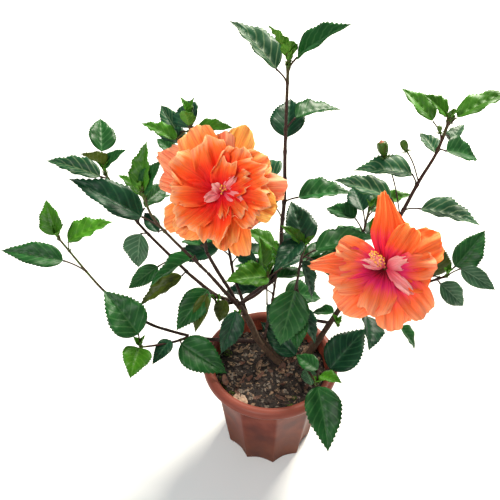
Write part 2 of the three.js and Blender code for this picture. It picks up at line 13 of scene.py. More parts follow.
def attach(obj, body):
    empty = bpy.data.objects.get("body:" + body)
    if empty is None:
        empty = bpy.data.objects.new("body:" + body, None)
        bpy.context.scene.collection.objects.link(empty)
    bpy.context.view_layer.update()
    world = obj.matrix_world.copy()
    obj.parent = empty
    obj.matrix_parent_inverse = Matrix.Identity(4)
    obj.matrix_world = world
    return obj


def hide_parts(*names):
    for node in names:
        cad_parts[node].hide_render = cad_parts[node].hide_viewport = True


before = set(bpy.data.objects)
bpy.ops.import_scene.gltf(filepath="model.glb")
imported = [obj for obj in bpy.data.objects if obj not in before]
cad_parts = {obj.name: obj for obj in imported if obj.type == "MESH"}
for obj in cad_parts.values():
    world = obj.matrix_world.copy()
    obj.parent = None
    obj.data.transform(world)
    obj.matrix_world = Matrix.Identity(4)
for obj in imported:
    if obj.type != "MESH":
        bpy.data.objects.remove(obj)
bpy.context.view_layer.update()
MM = 0.001


# The flower pot is a thin tub of polypropylene, injection moulded in one piece. It tapers to its foot, ten
# shallow flutes run down its wall, and the rim is a hollow roll that stiffens the mouth.

POT = {
    "height": 200, "rim": 115, "roll": 9, "neck": 99, "neck_height": 184, "foot": 78, "wall": 3.5, "floor": 6,
    "flutes": 10, "flute_foot": 8.5, "flute_neck": 5, "flute_top": 165, "flute_fade": 15, "ridge": 275,
    "around": 240,
}


def linear(code):
    """An sRGB hex colour as the linear values that a shader socket takes."""
    shares = [int(code[i:i + 2], 16) / 255 for i in (1, 3, 5)]
    return [c / 12.92 if c <= 0.04045 else ((c + 0.055) / 1.055) ** 2.4 for c in shares] + [1.0]


def feed(tree, node, inputs):
    """Sets a node's inputs. Each is a value, an sRGB hex colour, or a socket to link it from."""
    for name, value in inputs.items():
        if isinstance(value, bpy.types.NodeSocket):
            tree.links.new(value, node.inputs[name])
        else:
            node.inputs[name].default_value = linear(value) if isinstance(value, str) else value


def add_node(tree, kind, inputs=None, stops=(), give=None, **settings):
    """Adds a shader node with its settings and links. Gives back the named output, or the first in use."""
    made = tree.nodes.new(f"ShaderNode{kind}")
    for name, value in settings.items():
        setattr(made, name, value)
    feed(tree, made, inputs or {})
    if stops:
        ramp = made.color_ramp
        while len(ramp.elements) < len(stops):
            ramp.elements.new(0.5)
        for element, (position, colour) in zip(ramp.elements, stops):
            element.position = position
            element.color = linear(colour) if isinstance(colour, str) else colour
    return made.outputs[give] if give else next(socket for socket in made.outputs if socket.enabled)


def shade(colour, strength):
    """A hex colour made lighter or darker, as linear values."""
    return [min(1, c * strength) for c in linear(colour)[:3]] + [1]


def start_material(name, colour, **surface):
    """A material, its node tree and its surface shader, with the settings that are the same all over it."""
    material = bpy.data.materials.new(name)
    material.use_nodes = True
    material.diffuse_color = linear(colour)
    shader = material.node_tree.nodes["Principled BSDF"]
    feed(material.node_tree, shader, {"Base Color": colour})
    feed(material.node_tree, shader, {socket.replace("_", " "): value for socket, value in surface.items()})
    return material, material.node_tree, shader


def place_piece(name, mesh, materials, replaced, smooth=True, closed=True):
    """Turns a finished bmesh into a piece of the plant that rides on its one body."""
    if closed:
        bmesh.ops.recalc_face_normals(mesh, faces=mesh.faces)
    data = bpy.data.meshes.new(name)
    mesh.to_mesh(data)
    mesh.free()
    for material in materials:
        data.materials.append(material)
    data.polygons.foreach_set("use_smooth", [smooth] * len(data.polygons))
    piece = bpy.data.objects.new(name, data)
    bpy.context.scene.collection.objects.link(piece)
    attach(piece, "root")
    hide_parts(*replaced)
    return piece


def deal_material(made, index):
    """Gives the faces round these vertices one of the piece's materials."""
    for face in {face for vert in made for face in vert.link_faces}:
        face.material_index = index


def spin_profile(profile, steps):
    """A closed body of revolution round Z, from points of radius and height."""
    mesh = bmesh.new()
    line = [mesh.verts.new((r * MM, 0, z * MM)) for r, z in profile]
    bmesh.ops.spin(
        mesh, geom=line + [mesh.edges.new(pair) for pair in zip(line, line[1:])], axis=(0, 0, 1),
        cent=(0, 0, 0), steps=steps, angle=math.tau, use_merge=True,
    )
    bmesh.ops.remove_doubles(mesh, verts=mesh.verts, dist=1e-6)
    return mesh


def wall_radius(height):
    return POT["foot"] + (POT["neck"] - POT["foot"]) * height / POT["neck_height"]


def flute_inset(bearing, height):
    """How far the wall stands in from the round: nothing on a ridge, most in mid flute, arched at the top."""
    pitch = 360 / POT["flutes"]
    across = 2 * ((bearing - POT["ridge"]) % pitch) / pitch - 1
    depth = POT["flute_foot"] + (POT["flute_neck"] - POT["flute_foot"]) * height / POT["flute_top"]
    arch = POT["flute_top"] + POT["flute_fade"] - 7 * across * across
    fade = min(1, max(0, (arch - height) / POT["flute_fade"]))
    return depth * (1 - across * across) * fade * fade * (3 - 2 * fade)


def build_pot():
    roll_centre = (POT["rim"] - POT["roll"], POT["height"] - POT["roll"])
    roll = [
        (roll_centre[0] + POT["roll"] * math.cos(math.radians(turn)),
         roll_centre[1] + POT["roll"] * math.sin(math.radians(turn)))
        for turn in range(-150, 176, 13)
    ]
    heights = [4, 12, 40, 80, 120, 145, 155, 160, 164, 167, 170, 173, 176, 179]
    bead = [(180.5, 0.6), (181.5, 2.4), (183, 2.8), (184.5, 2.2), (185.5, 0.8)]
    collar = [(wall_radius(z) + proud, z) for z, proud in bead]
    outside = [(wall_radius(z), z) for z in heights]
    inside = [(wall_radius(z) - POT["wall"], z) for z in reversed([POT["floor"], *heights[2:]])]
    foot = [(0, 2), (POT["foot"] - 8, 2), (POT["foot"] - 6, 0), (POT["foot"] - 1.5, 0), (POT["foot"], 1.5)]
    profile = foot + outside + collar + roll + inside + [(0, POT["floor"])]
    mesh = spin_profile(profile, POT["around"])
    for vert in mesh.verts:
        radius = math.hypot(vert.co.x, vert.co.y) / MM
        if radius < POT["foot"] / 2:
            continue
        inset = flute_inset(math.degrees(math.atan2(vert.co.y, vert.co.x)), vert.co.z / MM)
        vert.co.x *= 1 - inset / radius
        vert.co.y *= 1 - inset / radius
    bmesh.ops.recalc_face_normals(mesh, faces=mesh.faces)
    for edge in mesh.edges:
        edge.smooth = edge.calc_face_angle(0) < math.radians(35)
    for face in mesh.faces:
        middle = face.calc_center_median()
        inward = face.normal.x * middle.x + face.normal.y * middle.y < 0
        face.material_index = 1 if inward and middle.z / MM < 190 else 0
    return mesh


# Coloured polypropylene, moulded and left as it came from the tool: a soft satin, chalky where the sun has
# bleached the rim, rubbed pale on the arches of the flutes, and grey with splashed soil towards the foot.
polypropylene, nodes, shader = start_material("moulded_polypropylene", "#6b3427", Specular_IOR_Level=0.16)
place = add_node(nodes, "TexCoord", give="Object")
height = add_node(nodes, "SeparateXYZ", {0: place}, give="Z")
blotches = add_node(nodes, "TexNoise", {"Vector": place, "Scale": 28.0, "Detail": 6.0})
specks = add_node(nodes, "TexNoise", {"Vector": place, "Scale": 420.0, "Detail": 3.0})
mottle = add_node(nodes, "ValToRGB", {0: blotches}, [(0.32, "#4c1a10"), (0.5, "#64281a"), (0.7, "#7a3828")])
faded = add_node(nodes, "MapRange", {
    "Value": height, "From Min": 0.181, "From Max": 0.197, "To Max": 0.72,
}, interpolation_type="SMOOTHSTEP")
bleached = add_node(nodes, "Mix", {0: faded, 6: mottle, 7: "#8c4c40"}, data_type="RGBA")
splash = add_node(nodes, "MapRange", {"Value": height, "From Min": 0.125, "From Max": 0.0, "To Max": 0.85})
patchy = add_node(nodes, "MapRange", {
    "Value": blotches, "From Min": 0.3, "From Max": 0.62, "To Min": 0.35, "To Max": 1.0,
})
dust = add_node(nodes, "Math", {0: splash, 1: patchy}, operation="MULTIPLY")
dusty = add_node(nodes, "Mix", {0: dust, 6: bleached, 7: "#64402f"}, data_type="RGBA")
neck = add_node(nodes, "MapRange", {"Value": height, "From Min": 0.15, "From Max": 0.19})
band = add_node(nodes, "ValToRGB", {0: neck}, [(0.3, "#000000"), (0.62, "#ffffff"), (0.85, "#000000")])
flecks = add_node(nodes, "TexNoise", {"Vector": place, "Scale": 60.0, "Detail": 8.0, "Roughness": 0.7})
rubs = add_node(nodes, "MapRange", {"Value": flecks, "From Min": 0.56, "From Max": 0.66, "To Max": 0.65})
rubbed = add_node(nodes, "Math", {0: band, 1: rubs}, operation="MULTIPLY")
feed(nodes, shader, {
    "Base Color": add_node(nodes, "Mix", {0: rubbed, 6: dusty, 7: "#b08a7c"}, data_type="RGBA"),
    "Roughness": add_node(nodes, "MapRange", {"Value": dust, "To Min": 0.4, "To Max": 0.75}),
    "Normal": add_node(nodes, "Bump", {"Height": specks, "Strength": 0.12, "Distance": 0.0004}),
})

# The same polypropylene inside the mouth, where light comes through the thin wall and warms it, with the fine
# upright ribs that the moulding tool leaves, 3 mm apart.
lit_wall, nodes, shader = start_material("polypropylene_inner_wall", "#a84a36", Roughness=0.5)
RIBS = 200
place = add_node(nodes, "TexCoord", give="Object")
deep = add_node(nodes, "SeparateXYZ", {0: place}, give="Y")
wide = add_node(nodes, "SeparateXYZ", {0: place}, give="X")
turn = add_node(nodes, "Math", {0: deep, 1: wide}, operation="ARCTAN2")
rib = add_node(nodes, "Math", {0: turn, 1: RIBS}, operation="MULTIPLY")
wave = add_node(nodes, "Math", {0: rib}, operation="SINE")
stain = add_node(nodes, "TexNoise", {"Vector": place, "Scale": 40.0, "Detail": 5.0})
feed(nodes, shader, {
    "Base Color": add_node(nodes, "ValToRGB", {0: stain}, [(0.35, "#7c3020"), (0.6, "#b0503a")]),
    "Normal": add_node(nodes, "Bump", {"Height": wave, "Strength": 0.5, "Distance": 0.0004}),
})

place_piece("flower_pot", build_pot(), [polypropylene, lit_wall], ["pot"])


# The soil is old bark compost, settled lower at the back, with crumbs, chips of bark, curled dead leaves
# and a little moss lying on it. The bed is one heaped body, and each kind of litter is joined into one piece.

SOIL = {"level": 177, "forward_rise": 0.07, "heap": 4, "edge": 94.6, "under": 152}
# Without a seed of its own, noise_vector starts from the clock and dents the litter anew on every run.
noise.seed_set(7)


def soil_height(x, y):
    """The height of the bed in millimetres, with clods of about 12 mm and crumbs of about 4 mm on it."""
    heap = SOIL["heap"] * (1 - (x * x + y * y) / POT["neck"] ** 2)
    clods = 2.4 * noise.noise(Vector((x, y, 3)) / 12) + 1.2 * noise.noise(Vector((x, y, 9)) / 4)
    return SOIL["level"] - SOIL["forward_rise"] * y + heap + clods


def seeded(seed):
    """The source's generator of numbers between 0 and 1, the same on every run."""
    state = seed * 7919
    while True:
        state = state * 16807 % 2147483647
        yield state / 2147483647


def build_bed():
    rings = [SOIL["edge"] * share / 36 for share in range(37)]
    profile = [(r, SOIL["level"]) for r in rings] + [(SOIL["edge"] - 1, SOIL["under"]), (0, SOIL["under"])]
    mesh = spin_profile(profile, 150)
    for vert in mesh.verts:
        x, y, z = vert.co / MM
        if z > SOIL["under"] + 1:
            z = soil_height(x, y)
        inset = flute_inset(math.degrees(math.atan2(y, x)), z)
        room = wall_radius(z) - POT["wall"] - inset - 0.4
        shrink = min(1, room / max(1, math.hypot(x, y)))
        vert.co = Vector((x * shrink, y * shrink, z)) * MM
    return mesh


def litter_spots(count, seed, reach=92):
    """Seeded places all over the bed, in millimetres, each with three more chances for size and turn."""
    chance = seeded(seed)
    for _ in range(count):
        radius, turn = reach * math.sqrt(next(chance)), math.tau * next(chance)
        yield radius * math.cos(turn), radius * math.sin(turn), [next(chance) for _ in range(3)]


def lie_on_bed(x, y, sunk, chances):
    """The placing matrix of a scrap that lies on the soil, turned and tipped by chance."""
    spin = Matrix.Rotation(math.tau * chances[0], 4, "Z")
    tip = Matrix.Rotation(1.1 * (chances[1] - 0.5), 4, "X")
    roll = Matrix.Rotation(0.9 * (chances[2] - 0.5), 4, "Y")
    return Matrix.Translation(Vector((x, y, soil_height(x, y) - sunk)) * MM) @ spin @ (tip @ roll)


def build_chips(count, seed, length, kinds):
    """Flat broken chips with jittered corners, dealt out among the materials of the piece."""
    mesh = bmesh.new()
    for number, (x, y, chances) in enumerate(litter_spots(count, seed)):
        size = length * (0.45 + 0.9 * chances[2])
        shape = Matrix.Diagonal((size * MM, size * (0.3 + 0.4 * chances[1]) * MM, size * 0.16 * MM, 1))
        chip = bmesh.ops.create_cube(mesh, size=1, matrix=lie_on_bed(x, y, 0.2, chances) @ shape)["verts"]
        for vert in chip:
            vert.co += noise.noise_vector(vert.co * 900) * size * 0.16 * MM
        deal_material(chip, number % kinds)
    return mesh


def build_crumbs(count, seed, size, kinds):
    mesh = bmesh.new()
    for number, (x, y, chances) in enumerate(litter_spots(count, seed)):
        across = size * (0.5 + chances[0]) * MM
        shape = Matrix.Diagonal((across, across * (0.7 + 0.5 * chances[1]), across * 0.8, 1))
        place = lie_on_bed(x, y, 0.3, chances) @ shape
        crumb = bmesh.ops.create_icosphere(mesh, subdivisions=1, radius=0.6, matrix=place)["verts"]
        for vert in crumb:
            vert.co += noise.noise_vector(vert.co * 1100) * across * 0.3
        deal_material(crumb, number % kinds)
    return mesh


def add_scrap(mesh, x, y, length, width, curl, chances, kind):
    """A curled scrap of dead leaf, ragged at its edge."""
    made = bmesh.ops.create_grid(mesh, x_segments=6, y_segments=8, size=0.5)["verts"]
    place = lie_on_bed(x, y, -1.2, chances)
    for vert in made:
        across, along = 2 * vert.co.x, vert.co.y + 0.5
        half = width / 2 * math.sin(math.pi * (0.08 + 0.84 * along)) ** 0.7
        ragged = 1 + 0.25 * noise.noise(Vector((along * 5, across * 2, x)))
        bend = curl * length * (along - 0.4) ** 2 + 0.5 * curl * half * across * across
        vert.co = place @ (Vector((across * half * ragged, (along - 0.5) * length, bend)) * MM)
    deal_material(made, kind)


def build_scraps():
    """Four named scraps that show from the front, and many small ones. Each is curled and thickened."""
    mesh = bmesh.new()
    named = [
        (-50, -76, 26, 19, 0.35, 0), (-76, -38, 26, 10, 1.0, 1),
        (20, -8, 20, 12, 0.7, 1), (54, -76, 20, 12, 0.6, 2),
    ]
    for number, (x, y, length, width, curl, kind) in enumerate(named):
        add_scrap(mesh, x, y, length, width, curl, [0.13 + 0.4 * number, 0.5, 0.45], kind)
    for number, (x, y, chances) in enumerate(litter_spots(84, 71, 86)):
        size = (9 + 12 * chances[0], 4 + 5 * chances[1], 0.5 + chances[2])
        add_scrap(mesh, x, y, *size, chances, 1 + number % 3)
    bmesh.ops.solidify(mesh, geom=mesh.faces, thickness=0.35 * MM)
    return mesh


def build_moss():
    """Low cushions of moss against the wall and in the hollows."""
    mesh = bmesh.new()
    cushions = [
        (-86, -34, 9), (-80, -52, 8), (-88, 8, 8), (-74, 30, 8), (-66, -62, 6), (28, -84, 6), (37, -70, 3),
    ]
    for number, (x, y, spread) in enumerate(cushions):
        chance = seeded(80 + number)
        for _ in range(26):
            far, turn = spread * math.sqrt(next(chance)), math.tau * next(chance)
            px, py = x + far * math.cos(turn), y + far * math.sin(turn)
            tuft = Matrix.Translation(Vector((px, py, soil_height(px, py) + 0.6)) * MM)
            bmesh.ops.create_icosphere(mesh, subdivisions=1, radius=(1 + next(chance)) * MM, matrix=tuft)
    for vert in mesh.verts:
        vert.co += noise.noise_vector(vert.co * 900) * 0.9 * MM
    return mesh


def litter(name, colour, roughness=0.9, grain=300.0):
    """A dull, broken plant material, flecked at the scale of its grain."""
    material, nodes, shader = start_material(name, colour, Roughness=roughness)
    place = add_node(nodes, "TexCoord", give="Object")
    fleck = add_node(nodes, "TexNoise", {"Vector": place, "Scale": grain, "Detail": 5.0})
    tones = [(0.34, shade(colour, 0.45)), (0.66, shade(colour, 1.5))]
    feed(nodes, shader, {
        "Base Color": add_node(nodes, "ValToRGB", {0: fleck}, tones),
        "Normal": add_node(nodes, "Bump", {"Height": fleck, "Strength": 0.6, "Distance": 0.0008}),
    })
    return material


# Bark compost: nearly black where it is damp, brown where it has dried. Its chips are the same bark,
# weathered to brown, grey and tan.
damp_compost = litter("damp_bark_compost", "#1c120d")
dark_chip = litter("decayed_bark_dark", "#1f140f")
brown_chip = litter("decayed_bark_brown", "#33261e")
grey_chip = litter("weathered_bark_grey", "#6a5d52")
tan_chip = litter("dry_bark_tan", "#745c48")
# Dead leaves: papery and a little smoother, bleached pale or still russet.
pale_leaf = litter("dead_leaf_pale", "#9a7f6a", 0.7, 160.0)
russet_leaf = litter("dead_leaf_russet", "#553628", 0.75, 160.0)
# Cushion moss: matt and soft, olive green.
moss = litter("cushion_moss", "#3c4a12", 0.95)

chips, crumbs = build_chips(900, 61, 7.5, 4), build_crumbs(1500, 62, 2.6, 3)
place_piece("soil_bed", build_bed(), [damp_compost], ["soil"])
place_piece("bark_chips", chips, [dark_chip, brown_chip, grey_chip, tan_chip], ["soil"], smooth=False)
place_piece("soil_crumbs", crumbs, [dark_chip, brown_chip, damp_compost], ["soil"])
scrap_skins = [pale_leaf, russet_leaf, brown_chip, tan_chip]
place_piece("dead_leaf_scraps", build_scraps(), scrap_skins, ["soil"], closed=False)
place_piece("moss_cushions", build_moss(), [moss], ["soil"])


# The woody limbs: two stems from the soil and the boughs that fork from them, each one tapering limb. The
# bark is smooth and thin at this age, with leaf scars a few centimetres apart and corky dots between them.
# A limb's row is the points it runs through, its radius at the foot and the tip, and its flare at the soil.

STEMS = {
    "main_stem": ([[21, 10, 168], [-2, 8, 205], [-20, 6, 236], [-36, 3, 288], [-57, 0, 336]], 5.8, 4.8, 0.9),
    "right_stem": (
        [[62, 23, 168], [72, 19, 199], [107, 20, 289], [148, 25, 395], [177, 29, 463]], 5, 3.2, 0.8,
    ),
    "tall_bough": ([[-50, 3, 326], [-25, 15, 342], [4, 14, 372], [11, 10, 415], [10, 8, 469]], 3.6, 3, 0),
    "centre_bough": ([[-52, -2, 332], [-40, -10, 348], [-29, -14, 360], [-21, -17, 371]], 2.8, 2.3, 0),
    "centre_right_bough": ([[96, 18, 268], [62, 4, 292], [38, -14, 335], [33, -20, 374]], 2.7, 2.3, 0),
    "left_bough": ([[-56, 2, 330], [-72, 8, 332], [-88, 9, 340], [-125, 10, 381]], 3.3, 2.6, 0),
    "front_left_bough": ([[-54, -4, 330], [-64, -6, 348], [-76, -7, 368], [-97, -14, 409]], 3.2, 2.5, 0),
    "left_flower_bough": ([[-57, 4, 332], [-68, 12, 352], [-84, 10, 390], [-98, 3, 434]], 3, 2.5, 0),
    "low_left_bough": ([[-20, 6, 236], [-60, 12, 231], [-106, 14, 232], [-137, 9, 243]], 3.4, 2.8, 0),
    "far_left_bough": ([[-137, 11, 244], [-160, 10, 254], [-199, 0, 286], [-239, -8, 344]], 2.5, 2.1, 0),
    "right_flower_bough": ([[134, 24, 355], [142, -8, 392], [138, -40, 432], [131, -72, 472]], 2.8, 2.4, 0),
    "far_right_bough": ([[143, 24, 380], [180, 14, 372], [206, 2, 374], [227, -8, 381]], 2.6, 2.2, 0),
    "back_left_bough": ([[-38, 4, 292], [-48, 30, 312], [-60, 56, 332]], 3, 2.5, 0),
    "back_right_bough": ([[108, 21, 290], [118, 42, 306], [130, 62, 326]], 2.8, 2.3, 0),
    "back_low_bough": ([[-12, 8, 222], [-6, 36, 240], [2, 62, 258]], 2.8, 2.3, 0),
}
FLARE_SHARE = 0.08


def smooth_line(points, fineness=20):
    """The source's smooth line through the points, a centripetal spline, as many short straight steps."""
    points = [Vector(p) for p in points]
    ends = [2 * points[0] - points[1], *points, 2 * points[-1] - points[-2]]
    line = []
    for p0, p1, p2, p3 in zip(ends, ends[1:], ends[2:], ends[3:]):
        d0, d1, d2 = [math.sqrt((b - a).length) for a, b in ((p0, p1), (p1, p2), (p2, p3))]
        slope1 = d1 * ((p1 - p0) / d0 - (p2 - p0) / (d0 + d1) + (p2 - p1) / d1)
        slope2 = d1 * ((p2 - p1) / d1 - (p3 - p1) / (d1 + d2) + (p3 - p2) / d2)
        for step in range(fineness):
            t = step / fineness
            line.append(
                p1 + slope1 * t + (3 * (p2 - p1) - 2 * slope1 - slope2) * t ** 2
                + (2 * (p1 - p2) + slope1 + slope2) * t ** 3
            )
    return line + [points[-1]]


def point_on(line, share):
    """The point a share of the way along a line, and the direction of the line there."""
    lengths = [(b - a).length for a, b in zip(line, line[1:])]
    left = share * sum(lengths)
    for (a, b), length in zip(zip(line, line[1:]), lengths):
        if left <= length:
            break
        left -= length
    return a + (b - a) * min(1, left / length), (b - a).normalized()


def at(measure, share):
    """A measure that is either a number or a function of the share of the way along."""
    return measure(share) if callable(measure) else measure


def add_limb(mesh, line, radius, sides, step, limb_age, relief=None):
    """A round limb along a line. Its age, from 0 for this year's growth to 1 for old bark, is kept on it."""
    length = sum((b - a).length for a, b in zip(line, line[1:]))
    rings = max(2, round(length / step))
    age = mesh.verts.layers.float.get("age") or mesh.verts.layers.float.new("age")
    made = bmesh.ops.create_grid(mesh, x_segments=sides, y_segments=rings, size=0.5)["verts"]
    centres = [point_on(line, ring / rings) for ring in range(rings + 1)]
    sideways = centres[0][1].orthogonal().normalized()
    frames = []
    for centre, forward in centres:
        sideways = (sideways - forward * sideways.dot(forward)).normalized()
        frames.append((centre, sideways, forward.cross(sideways)))
    for vert in made:
        turn, ring = math.tau * (vert.co.x + 0.5), round((vert.co.y + 0.5) * rings)
        centre, side, other = frames[ring]
        share = ring / rings
        reach = at(radius, share)
        if relief:
            reach += relief(share * length, turn, reach, centre)
        vert.co = (centre + (side * math.cos(turn) + other * math.sin(turn)) * reach) * MM
        vert[age] = at(limb_age, share)
    bmesh.ops.remove_doubles(mesh, verts=made, dist=1e-6)
    made = [vert for vert in made if vert.is_valid]
    rims = [edge for edge in {edge for vert in made for edge in vert.link_edges} if edge.is_boundary]
    bmesh.ops.holes_fill(mesh, edges=rims, sides=0)


def bark_relief(along, turn, radius, centre):
    """Leaf scars as one-sided swellings about 28 mm apart, corky dots, and lengthwise wrinkles."""
    scar_pitch, pattern_turn = 28, 2.4
    scar, place = divmod(along + 6 * noise.noise(centre / 40), scar_pitch)
    facing = math.cos(turn - scar * pattern_turn)
    swelling = 0.22 * radius * math.exp(-((place - 14) / 2.6) ** 2) * max(0.25, facing)
    corky = 0.10 * radius * max(0, noise.noise(Vector((along / 2.2, turn * 3, centre.x))) - 0.15)
    wrinkles = 0.07 * radius * noise.noise(Vector((along / 14, turn * 2.2, 5)))
    return swelling + corky + wrinkles


def taper(foot, tip, flare):
    return lambda share: foot + (tip - foot) * share + foot * flare * math.exp(-share / FLARE_SHARE)


def build_wood():
    mesh = bmesh.new()
    for name, (points, foot, tip, flare) in STEMS.items():
        old = 1.0 if flare else 0.45
        young = 0.7 if name == "main_stem" else 0.3
        sides, step = (20, 2.2) if flare else (14, 2.6)
        add_limb(
            mesh, smooth_line(points), taper(foot, tip, flare), sides, step,
            lambda share: old + (young - old) * share, bark_relief,
        )
    return mesh


# Hibiscus bark and rind: grey-brown and corky on the old foot, dark maroon on last year's wood, and a smooth
# waxy green on this year's shoots. One material, turned from one to the next by the age of the wood.
rind, nodes, shader = start_material("hibiscus_bark_and_rind", "#4a3128", Specular_IOR_Level=0.25)
place = add_node(nodes, "TexCoord", give="Object")
age = add_node(nodes, "Attribute", give="Fac", attribute_name="age")
drawn_out = add_node(nodes, "Mapping", {"Vector": place, "Scale": (1, 1, 0.3)})
streaks = add_node(nodes, "TexNoise", {"Vector": drawn_out, "Scale": 260.0, "Detail": 5.0})
ragged = add_node(nodes, "MapRange", {
    "Value": streaks, "From Min": 0.3, "From Max": 0.7, "To Min": -0.12, "To Max": 0.12,
})
shifted = add_node(nodes, "Math", {0: age, 1: ragged}, operation="ADD")
by_age = add_node(nodes, "ValToRGB", {0: shifted}, [
    (0.0, "#40611c"), (0.14, "#3f3316"), (0.26, "#331a14"),
    (0.5, "#271511"), (0.74, "#3c2a20"), (1.0, "#5a4636"),
])
cork = add_node(nodes, "TexVoronoi", {"Vector": place, "Scale": 330.0})
dot = add_node(nodes, "MapRange", {"Value": cork, "From Min": 0.22, "From Max": 0.12, "To Max": 0.5})
feed(nodes, shader, {
    "Base Color": add_node(nodes, "Mix", {0: dot, 6: by_age, 7: "#6e5a4a"}, data_type="RGBA"),
    "Roughness": add_node(nodes, "MapRange", {"Value": age, "To Min": 0.42, "To Max": 0.9}),
    "Normal": add_node(nodes, "Bump", {"Height": streaks, "Strength": 0.5, "Distance": 0.0006}),
})

wood = build_wood()
bmesh.ops.recalc_face_normals(wood, faces=wood.faces)
wood_space = BVHTree.FromBMesh(wood)
place_piece("woody_limbs", wood, [rind], list(STEMS))


# The green shoots: each stem grows on from a bough's tip and carries a spray of leaves on thin stalks, with a
# bud in the angle of each stalk. A shoot's row is the points it runs through, its radius at the foot and the
# tip, its seed and its leaves. A leaf's row is [share of the way up, bearing, lift of its stalk, length of
# its stalk, lift of its blade, blade length, blade width, roll, tint].

